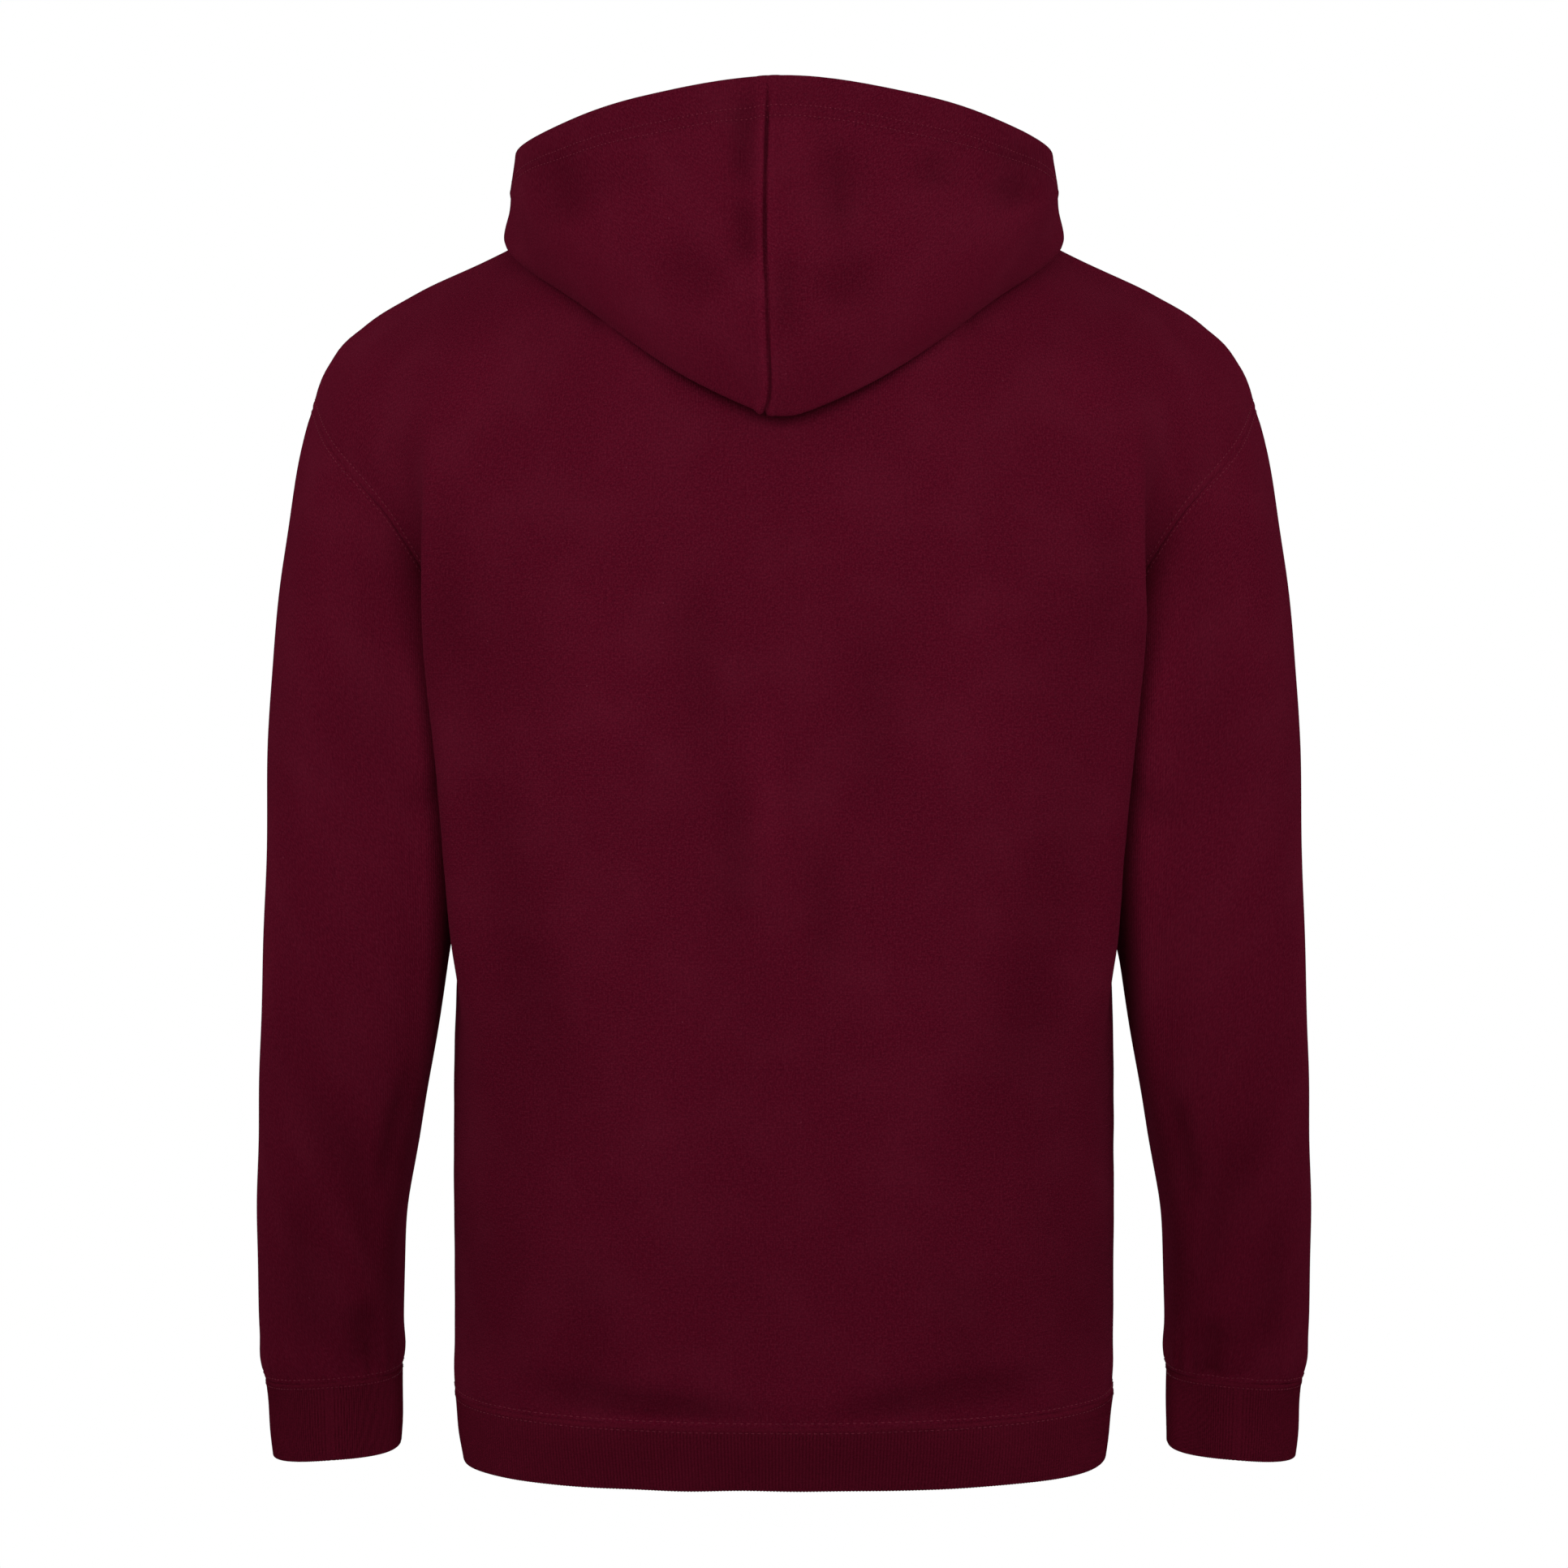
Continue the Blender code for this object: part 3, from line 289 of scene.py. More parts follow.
FRONT_CREASES = (
    Crease(0.165, -0.230, 0.080, -0.330, -0.010, 0.018, -0.0020),
    Crease(0.150, -0.280, 0.060, -0.400, -0.012, 0.022, 0.0016),
    Crease(0.100, -0.380, 0.112, -0.560, 0.006, 0.026, -0.0018),
    Crease(0.050, -0.450, 0.040, -0.640, -0.004, 0.020, 0.0014),
    Crease(0.140, -0.500, 0.132, -0.668, 0.004, 0.018, 0.0013),
    Crease(0.018, -0.200, 0.022, -0.320, 0.002, 0.010, 0.0008),
    Crease(0.016, -0.360, 0.020, -0.460, -0.002, 0.009, -0.0007),
    Crease(0.018, -0.520, 0.016, -0.640, 0.002, 0.010, 0.0008),
)
# The same for a sleeve, with the turn round it in degrees for x: 0 outermost, 90 behind, 180 at the body.
SLEEVE_CREASES = (
    Crease(25, -0.300, 32, -0.520, 6, 14, 0.0010),
    Crease(150, -0.300, 105, -0.345, 10, 12, -0.0014),
    Crease(-150, -0.290, -80, -0.345, -8, 12, -0.0020),
    # These two ridges on the sleeve's side towards the body paint light there, where the body shades the
    # sleeve.
    Crease(104, -0.150, 122, -0.330, 0, 14, 0.0023),
    Crease(122, -0.290, 158, -0.530, 2, 16, 0.0028),
    Crease(100, -0.300, 106, -0.510, 0, 40, 0.0010),
    Crease(-170, -0.400, -100, -0.440, -10, 12, 0.0018),
    Crease(-60, -0.420, -40, -0.560, 8, 13, -0.0012),
    Crease(74, -0.500, 124, -0.622, 6, 12, -0.0016),
    Crease(140, -0.490, 128, -0.570, -4, 11, -0.0020),
    Crease(66, -0.560, 84, -0.668, 4, 14, -0.0015),
    Crease(-130, -0.520, -60, -0.590, 8, 12, -0.0016),
    Crease(116, -0.628, 118, -0.676, 0, 17, -0.0028),
    Crease(-20, -0.590, -10, -0.672, 2, 10, -0.0010),
    Crease(-110, -0.610, -120, -0.672, 2, 10, 0.0012),
)
# And for the hood's outer side, seen from behind.
HOOD_CREASES = (
    Crease(0.0190, 0.056, 0.0210, -0.004, 0.002, 0.0070, -0.0024),
    Crease(0.0235, 0.000, 0.0210, -0.044, -0.002, 0.0080, -0.0026),
    Crease(-0.0265, 0.034, -0.0295, -0.030, -0.002, 0.0110, -0.0022),
    Crease(-0.0060, 0.050, -0.0060, 0.010, 0.001, 0.0080, 0.0007),
    Crease(-0.0820, 0.026, -0.0880, 0.000, 0.003, 0.0100, -0.0018),
    Crease(-0.1230, 0.012, -0.1310, -0.010, 0.002, 0.0120, -0.0018),
    Crease(0.0640, -0.025, 0.0300, -0.058, 0.004, 0.0160, -0.0016),
    Crease(-0.0500, -0.030, -0.0150, -0.062, -0.004, 0.0160, -0.0020),
    Crease(-0.0020, -0.030, -0.0020, -0.085, 0.001, 0.0090, -0.0016),
    Crease(0.1300, 0.030, 0.1180, -0.022, -0.004, 0.0160, -0.0022),
    Crease(-0.1330, 0.034, -0.1300, -0.006, 0.004, 0.0160, -0.0016),
    Crease(0.0900, 0.026, 0.0850, -0.004, 0.003, 0.0180, -0.0006),
)


# ---- Curves ----
def through(keys, values, wanted):
    """Smooth curve through the values at the keys, read at the wanted keys."""
    keys, values, wanted = np.asarray(keys, float), np.asarray(values, float), np.asarray(wanted, float)
    slopes = np.gradient(values, keys, axis=0)
    left = np.clip(np.searchsorted(keys, wanted) - 1, 0, len(keys) - 2)
    span = (keys[left + 1] - keys[left])[..., None]
    s = (wanted - keys[left])[..., None] / span
    return curve_piece(values[left], slopes[left] * span, values[left + 1], slopes[left + 1] * span, s)


def curve_piece(start, start_pull, end, end_pull, s):
    """Cubic from start to end, leaving along start_pull and arriving along end_pull."""
    return ((2 * s**3 - 3 * s**2 + 1) * start + (s**3 - 2 * s**2 + s) * start_pull
            + (3 * s**2 - 2 * s**3) * end + (s**3 - s**2) * end_pull)


def read_table(table, wanted):
    """The other columns of a table, read along the smooth curve at the wanted places in its first column."""
    return through([row[0] for row in table], [row[1:] for row in table], wanted)


def lengths_along(points):
    steps = np.linalg.norm(np.diff(points, axis=0), axis=-1)
    return np.concatenate([0 * steps[:1], np.cumsum(steps, axis=0)])


def read_line(points, lengths, places):
    """Points of a line at the given places along it."""
    return np.stack([np.interp(places, lengths, points[:, i]) for i in range(3)], axis=1)


def by_length(points, shares):
    """Points at the given shares of a line's length."""
    lengths = lengths_along(points)
    return read_line(points, lengths, np.asarray(shares) * lengths[-1])


def bell(distance, width):
    """1 at no distance, and falling off smoothly on both sides over about the width."""
    return np.exp(-(distance / width) ** 2)


def ease(distance, over):
    """0 at no distance, and growing evenly to 1."""
    return np.clip(distance / over, 0, 1)


def unit(vectors):
    return vectors / np.maximum(np.linalg.norm(vectors, axis=-1, keepdims=True), 1e-12)


def marks(length, seam_low, seam_high):
    """Shares of a length, one cloth step apart, and close together beside the ends that are seams."""
    low = np.array(SEAM_MARKS if seam_low else (0.0,))
    high = np.array(SEAM_MARKS if seam_high else (0.0,))
    room = length - low[-1] - high[-1]
    middle = low[-1] + room * np.linspace(0, 1, max(2, round(room / CLOTH_STEP) + 1))
    return np.concatenate([low[:-1], middle, (length - high[::-1])[1:]]) / length


# ---- The form of the body ----
def level_section(row, side):
    """Half of a level section, from the centre line to the side seam; side is 1 behind and -1 in front."""
    turn = np.linspace(90.0, 0.0, 181)
    round_power = 2.0 / row.roundness
    depth = row.back if side > 0 else -row.front
    fold = row.fold * (1.0 if side > 0 else FRONT_FOLD_SHARE)
    bump = fold * bell(turn - SIDE_FOLD_TURN, SIDE_FOLD_SPREAD)
    x = row.half_width * np.abs(np.cos(np.radians(turn))) ** round_power
    x += bump * np.minimum(1.0, (90 - turn) / 30)
    y = row.side_y + (depth - row.side_y) * np.sin(np.radians(turn)) ** round_power
    x -= bump[-1] * np.clip(1 - turn / 10.0, 0, 1)
    return np.stack([x, y, np.full_like(x, row.z)], axis=1)


def body_row(z):
    return BodyRow(z, *read_table(BODY_ROWS, z))


def neckline(turn):
    """A point of the neckline, at a turn from the centre back."""
    c, s = math.cos(math.radians(turn)), math.sin(math.radians(turn))
    if c > 0:
        y, z = NECK_BACK * c * (1 + NECK_BACK_SWELL * s * s), -NECK_DROP_BACK * c * c
    else:
        y, z = NECK_FRONT * c * (1 + NECK_FRONT_SWELL * s * s), -NECK_DROP_FRONT * (-c) ** 1.5
    return np.array([NECK_HALF_WIDTH * s, y, z])


LOW_MARKS = marks(UNDERARM_Z - HEM_SEAM_Z, True, False)
HIGH_MARKS = marks(ARMHOLE_LENGTH, False, True)
LOW_STEPS = len(LOW_MARKS) - 1
SHOULDER_MARKS = marks(SHOULDER_LENGTH, False, True)
NECK_BACK_MARKS = marks(NECK_BACK_LENGTH, True, False)
NECK_FRONT_MARKS = marks(NECK_FRONT_LENGTH, True, False)


def half_panel(side):
    """Left half of the back (side 1) or left front (side -1): rows of points from the hem seam to the top."""
    neck_marks = NECK_BACK_MARKS if side > 0 else NECK_FRONT_MARKS
    neck_share = NECK_SHARE_BACK if side > 0 else NECK_SHARE_FRONT
    across = np.concatenate([neck_marks * neck_share, neck_share + SHOULDER_MARKS[1:] * (1 - neck_share)])

    levels = HEM_SEAM_Z + LOW_MARKS * (UNDERARM_Z - HEM_SEAM_Z)
    rows = [by_length(level_section(body_row(z), side), across) for z in levels]

    neck_turns = (0 if side > 0 else 180) + neck_marks * (90 if side > 0 else -90)
    neck = np.array([neckline(t) for t in neck_turns])
    shoulder_places = np.linspace(SHOULDER_ROWS[0].x, SHOULDER_ROWS[-1].x, FINE)
    shoulder_line = through([r.x for r in SHOULDER_ROWS], SHOULDER_ROWS, shoulder_places)
    top = np.concatenate([neck, by_length(shoulder_line, SHOULDER_MARKS)[1:]])

    turns = np.linspace(180, 0 if side > 0 else 360, FINE)
    armhole = by_length(read_table(ARMHOLE_ROWS, turns), HIGH_MARKS)
    armhole[-1] = top[-1]
    rows[-1][-1] = armhole[0]

    centre_rows = (CENTRE_BACK if side > 0 else CENTRE_FRONT)[::-1]
    zs = np.linspace(centre_rows[0].z, centre_rows[-1].z, FINE)
    ys = read_table(centre_rows, zs)[:, 0]
    centre = by_length(np.stack([0 * zs, ys, zs], axis=1), HIGH_MARKS)

    bottom = rows[-1]
    below = by_length(level_section(body_row(UNDERARM_Z - UNDERARM_STEP), side), across)
    rise = (top[:, 2] - bottom[:, 2])[:, None]
    start_pull = (bottom - below) / UNDERARM_STEP * rise * RISE_PULL
    inward = (bottom[:, 1] - top[:, 1]) * side
    at_shoulder, at_neck = np.array([0.0, -side, 0.0]), np.array([0.0, -side * 0.5, 0.85])
    steepness = np.clip(1 - across / neck_share, 0, 1)[:, None] ** 2
    pull = np.maximum(TOP_PULL * inward, LEAST_TOP_PULL)
    end_pull = (at_shoulder * (1 - steepness) + at_neck * steepness) * pull[:, None]
    rows += [curve_piece(bottom, start_pull, top, end_pull, v) for v in HIGH_MARKS[1:-1]] + [top]
    upper = np.array(rows[LOW_STEPS:])
    u = across[None, :, None]
    upper = upper + (1 - u) * (centre - upper[:, 0])[:, None] + u * (armhole - upper[:, -1])[:, None]
    skin = ease_underarm(np.concatenate([np.array(rows[:LOW_STEPS]), upper]))
    return skin if side > 0 else open_for_zip(skin, across)


def ease_underarm(skin):
    """Smooths the passage from the level sections to the lines that rise to the shoulder; the edges stay."""
    rows = np.arange(len(skin))
    from_side = lengths_along(skin.transpose(1, 0, 2)).T
    from_side = from_side[:, -1:] - from_side
    weight = 0.5 * bell(rows - LOW_STEPS, EASED_ROWS)[:, None] * ease(from_side, EASE_FROM_SIDE)
    for _ in range(EASE_PASSES):
        average = (skin[:-2] + skin[2:]) / 2
        skin[1:-1] += (average - skin[1:-1]) * weight[1:-1, :, None]
    return skin


def open_for_zip(points, across):
    points[..., 0] += ZIP_SLOT * np.clip(1 - across / ZIP_SLOT_REACH, 0, 1)
    return points


def hem_band(rows_down):
    """The hem band from the right front edge round the back to the left one, at places down it, 0 to 1."""
    low = np.array((BODY_ROWS[0],) + RIB_ROWS)
    depth = HEM_SEAM_Z - RIB_ROWS[-1].z
    keys = (HEM_SEAM_Z - low[:, 0]) / depth
    fine = np.linspace(0, 1, 400)
    rings = []
    for share in rows_down:
        row = BodyRow(*through(keys, low, share))
        back = level_section(row, 1)
        front = open_for_zip(by_length(level_section(row, -1), fine), fine)
        rings.append(np.concatenate([front * MIRROR, (back * MIRROR)[::-1][1:], back[1:], front[::-1][1:]]))
    girth = lengths_along(rings[0])[-1]
    count = round(girth / HEM_RIB_PITCH) * RIB_COLUMNS
    return np.array([by_length(ring, np.linspace(0, 1, count + 1)) for ring in rings])


def mirrored(skin):
    """The same piece on the wearer's right, with its columns turned round to keep its outside out."""
    return skin[:, ::-1] * MIRROR


# ---- The form of the sleeves and the hood ----
def sleeve_ring(row, turn):
    across, deep = (np.sign(wave) * np.abs(wave) ** SLEEVE_FLATNESS for wave in (np.cos(turn), np.sin(turn)))
    x = row.x + row.across * across
    return np.stack([x, row.y + row.deep * deep, row.z + SLEEVE_TILT * (row.x - x)], axis=1)


def ring_rows(table, down):
    """Rings between a table's first and last, at the given shares of the way down."""
    z = table[0].z + np.asarray(down) * (table[-1].z - table[0].z)
    return [SleeveRow(*row) for row in through([-r.z for r in table], table, -z)]


def left_sleeve(back, front):
    armhole = np.concatenate([back[LOW_STEPS:, -1], front[LOW_STEPS + 1:-1, -1][::-1]])
    turn = np.radians(np.concatenate([180 - 180 * HIGH_MARKS, -180 + 180 * HIGH_MARKS[1:-1][::-1]]))
    first, second = sleeve_ring(SLEEVE_ROWS[0], turn), sleeve_ring(SLEEVE_ROWS[1], turn)
    fall = (armhole[:, 2] - first[:, 2])[:, None]
    outward = np.stack([np.cos(turn), np.sin(turn), 0 * turn], axis=1) * (0.5 + 0.5 * np.cos(turn))[:, None]
    start_pull = (first - armhole) + SLEEVE_HEAD_BULGE * outward
    end_pull = (second - first) / (SLEEVE_ROWS[0].z - SLEEVE_ROWS[1].z) * fall
    head_marks = marks(SLEEVE_HEAD_LENGTH, True, False)[:-1]
    head = [curve_piece(armhole, start_pull, first, end_pull, v) for v in head_marks]
    arm_length = SLEEVE_ROWS[0].z - SLEEVE_ROWS[-1].z
    arm = [sleeve_ring(row, turn) for row in ring_rows(SLEEVE_ROWS, marks(arm_length, False, True))]
    return np.array(head + arm), np.degrees(turn)


def left_cuff(down):
    girth = lengths_along(sleeve_ring(CUFF_ROWS[0], np.linspace(0, 2 * math.pi, 200)))[-1]
    count = round(girth / CUFF_RIB_PITCH) * RIB_COLUMNS
    turn = np.radians(180 - 360 * np.arange(count) / count)
    return np.array([sleeve_ring(row, turn) for row in ring_rows(CUFF_ROWS, down)])


def left_hood(back_half, front, steps):
    """Left half of the hood: rows from the neck seam to the face's edge, columns from front to back."""
    neck = np.concatenate([back_half[-1, :len(NECK_BACK_MARKS)], front[-1, :len(NECK_FRONT_MARKS) - 1][::-1]])
    turns = np.concatenate([90 * NECK_BACK_MARKS, (180 - 90 * NECK_FRONT_MARKS[:-1])[::-1]])
    keys = [row.turn for row in HOOD_ROWS]
    roll = through(keys, [[row.roll] for row in HOOD_ROWS], turns)
    fold = through(keys, [row.fold for row in HOOD_ROWS], turns)
    lines = ("under", "outer", "edge")
    over = [MIRROR * np.array(getattr(HOOD_ROWS[1], line)) for line in lines]
    under, outer, edge = (
        through([-HOOD_ROWS[1].turn] + keys, [first] + [getattr(row, line) for row in HOOD_ROWS], turns)
        for first, line in zip(over, lines))

    risen = neck + roll * (unit((under - neck) * LEVEL) + 1.4 * UP)
    out = unit((outer - under) * LEVEL)
    before, after = fold + roll * (0.8 * UP - out), fold + roll * (0.8 * UP + out)
    stations = np.array([neck, risen, under, before, fold, after, outer, edge])
    skin = through(HOOD_KEYS, stations.reshape(len(HOOD_KEYS), -1), steps).reshape(len(steps), -1, 3)
    # The seam's thickness rounds the tip of the lower fold.
    behind = fold[:, 1] > 0
    rounding = TIP_SLOPE * (np.hypot(fold[:, 0], TIP_RADIUS) - fold[:, 0]) * behind
    skin[:, :, 2] += rounding * bell(np.array(steps)[:, None] - HOOD_FOLD, TIP_REACH)
    skin[0] = neck
    return skin[:, ::-1]


def hang_hood_seam(left, right, steps):
    """Slides the hood's points along its rows, so that the centre seam hangs to the left of its tip."""
    hang = read_table(SEAM_ROWS, steps)[:, 0]
    for left_row, right_row, aside in zip(left, right, hang):
        line = np.concatenate([left_row, right_row[1:]])
        behind = ease(line[:, 1], SEAM_SHIFT_BEHIND) * np.clip(1 - (line[:, 0] / SEAM_SHIFT_REACH) ** 2, 0, 1)
        places = lengths_along(line)
        slid = read_line(line, places, places - aside * behind)
        left_row[:], right_row[:] = slid[:len(left_row)], slid[len(left_row) - 1:]
    return left, right


def ring_of(points, closed):
    """A grid with its first column again after its last, where it goes all round."""
    return np.concatenate([points, points[:, :1]], axis=1) if closed else points


def face_vectors(ring):
    """Each face's direction out, as long as twice its area."""
    a, b, c, d = ring[:-1, :-1], ring[:-1, 1:], ring[1:, 1:], ring[1:, :-1]
    return np.cross(c - a, d - b)


# ---- Cloth ----
class Cloth:
    """A piece's outer face as a grid, with the lengths across and along it and the direction out of it.

    Its wales run beside the column straight, which is the panel's straight line.
    """

    def __init__(self, points, closed=False, straight=0):
        self.points = points
        self.first_form = points
        self.closed = closed
        self.straight = straight
        self.relief = np.zeros(points.shape[:2])
        self.across = lengths_along(points.transpose(1, 0, 2)).T
        self.along = lengths_along(points)
        self.out = self.normals()

    def edges(self):
        """The grid's edges: their names and where they lie in it."""
        rows = {"first_row": (slice(0, 1), slice(None)), "last_row": (slice(-1, None), slice(None))}
        columns = {"first_column": (slice(None), slice(0, 1)), "last_column": (slice(None), slice(-1, None))}
        return rows if self.closed else rows | columns

    def normals(self):
        ring = ring_of(self.points, self.closed)
        face = unit(face_vectors(ring))
        total = np.zeros_like(ring)
        for rows, columns in ((slice(0, -1), slice(0, -1)), (slice(0, -1), slice(1, None)),
                              (slice(1, None), slice(1, None)), (slice(1, None), slice(0, -1))):
            total[rows, columns] += face
        if self.closed:
            total[:, 0] += total[:, -1]
            total = total[:, :-1]
        return unit(total)

    def from_edge(self, edge):
        """Each point's distance from an edge of the grid."""
        return {"first_row": self.along, "last_row": self.along[-1:] - self.along,
                "first_column": self.across, "last_column": self.across[:, -1:] - self.across}[edge]

    def raise_by(self, folds, rest):
        """Raises the cloth by its folds, whose heights also give the shade and light painted into its colour,
        and by the rest of its relief.
        """
        self.points = self.points + self.out * (folds + rest)[..., None]
        self.relief = folds

    def line(self, edge, distance, lift=0.0, rows=slice(None)):
        """A line at a distance from an edge, lifted off the cloth: its points and the directions out."""
        apart = self.from_edge(edge)
        points, out = self.points + self.out * lift, self.out
        if edge.endswith("row"):
            apart, points, out = apart.T, points.transpose(1, 0, 2), out.transpose(1, 0, 2)
        found = []
        for places, line, outs in zip(apart[rows], points[rows], out[rows]):
            order = slice(None) if places[0] < places[-1] else slice(None, None, -1)
            both = np.concatenate([line, outs], axis=1)[order]
            found.append([np.interp(distance, places[order], both[:, i]) for i in range(6)])
        found = np.array(found)
        if self.closed and edge.endswith("row"):
            found = np.concatenate([found, found[:1]])
        return found[:, :3], unit(found[:, 3:])


def key(point):
    """The same for every piece's point at one place of a seam."""
    return tuple(np.round(point, 6))


def edge_points(cloth, place, values):
    """The keys of an edge's points with the values they have there."""
    return zip(map(key, cloth.first_form[place].reshape(-1, 3)), values[place].reshape(-1, 3))


def share_directions(cloths):
    """Where pieces meet at a seam, gives them one direction out, so that their walls stay together.

    At the armholes it halves the angle between the sleeve and the other pieces.
    """
    sums = {}
    for cloth in cloths:
        corners = set()
        for place in cloth.edges().values():
            for name, out in edge_points(cloth, place, cloth.out):
                if name not in corners:
                    sums[name] = sums.get(name, 0) + out
                corners.add(name)
    for cloth in cloths:
        if cloth.closed:
            seam_line = cloth.points[0]
            along = unit(np.roll(seam_line, -1, axis=0) - np.roll(seam_line, 1, axis=0))
            for point, tangent, out in zip(seam_line, along, cloth.out[0]):
                total = out + unit(sums[key(point)] - out)
                sums[key(point)] = total - tangent * np.dot(total, tangent)
    for cloth in cloths:
        for place in cloth.edges().values():
            shared = [sums[name] for name, _ in edge_points(cloth, place, cloth.out)]
            cloth.out[place] = unit(np.array(shared)).reshape(cloth.out[place].shape)


def join_edges(cloths, reach=0.006):
    """Brings the raised edges that meet at a seam to one line, and eases the cloth beside them."""
    met = {}
    for cloth in cloths:
        for place in cloth.edges().values():
            for name, point in edge_points(cloth, place, cloth.points):
                met.setdefault(name, []).append(point)
    middle = {name: np.mean(points, axis=0) for name, points in met.items()}
    for cloth in cloths:
        for edge, place in cloth.edges().items():
            line = np.array([middle[name] for name, _ in edge_points(cloth, place, cloth.points)])
            shift = line.reshape(cloth.points[place].shape) - cloth.points[place]
            cloth.points = cloth.points + shift * bell(cloth.from_edge(edge)[..., None], reach)
        for place in cloth.edges().values():
            line = np.array([middle[name] for name, _ in edge_points(cloth, place, cloth.points)])
            cloth.points[place] = line.reshape(cloth.points[place].shape)


def seam(distance, groove, allowance=0.0004, reach=0.0070):
    """Height beside a seam: the groove itself, and the swell over the allowance that ends at its reach."""
    swell = allowance * ease(reach + 0.0008 - distance, 0.0016)
    return swell - groove * bell(distance, 0.0009)


def stand_out(distance, blouse):
    """Height of the cloth's blouse above the seam of a band."""
    return blouse.height * bell(distance - blouse.at, blouse.width)


def needle_channel(distance, at):
    """The dent that a row of stitches pulls into the cloth."""
    return -0.0004 * bell(distance - at, 0.0008)


def stitched_seam(distance, at):
    """A seam with a row of stitches at a distance from it, which holds the allowance down."""
    return seam(distance, 0.0005, reach=at + 0.0006) + needle_channel(distance, at)


def creases(x, z, table, turn_round=None):
    """Height of a table of creases at the places (x, z); turn_round is x's period where it is an angle."""
    height = np.zeros_like(x)
    scale = 1.0 if turn_round is None else TURN_ARC
    for crease in table:
        start, end = np.array([crease.x0 * scale, crease.z0]), np.array([crease.x1 * scale, crease.z1])
        span = end - start
        length = math.hypot(*span)
        side = np.array([-span[1], span[0]]) / length
        place = x * scale
        if turn_round is not None:
            middle, period = (start[0] + end[0]) / 2, turn_round * scale
            place = middle + (place - middle + period / 2) % period - period / 2
        along = ((place - start[0]) * span[0] + (z - start[1]) * span[1]) / length**2
        off = (place - start[0]) * side[0] + (z - start[1]) * side[1]
        bow = crease.bow * scale * 4 * along * (1 - along)
        # The crease fades out at both ends, a little past them.
        fade = np.clip(1.15 - (2 * along - 1) ** 2, 0, 1) ** 1.5 * (np.abs(2 * along - 1) < 1.07)
        height += crease.height * fade * bell(off - bow, crease.width * scale)
    return height


def unevenness(x, z, seed, size, height):
    """Soft, irregular swells of cloth: many shallow waves in every direction, about the given size across."""
    random = np.random.default_rng(seed)
    total = np.zeros_like(x)
    for _ in range(14):
        angle, phase = random.uniform(0, math.pi), random.uniform(0, 2 * math.pi)
        wave = 2 * math.pi / (size * random.uniform(0.7, 1.6))
        total += np.sin(wave * (x * math.cos(angle) + z * math.sin(angle)) + phase)
    return total * height / math.sqrt(14)


def puckers(place, distance, seed, pitch, reach, height):
    """Small gathers that run away from a seam and fade with the distance from it."""
    random = np.random.default_rng(seed)
    total = np.zeros_like(place)
    for _ in range(5):
        wave = 2 * math.pi * place / (pitch * random.uniform(0.6, 1.7))
        total += np.sin(wave + random.uniform(0, 2 * math.pi))
    return total / 2.2 * height * np.exp(-(distance / reach) ** 1.5)


# ---- Walls ----
def add_object(name, data):
    obj = bpy.data.objects.new(name, data)
    bpy.context.scene.collection.objects.link(obj)
    return obj


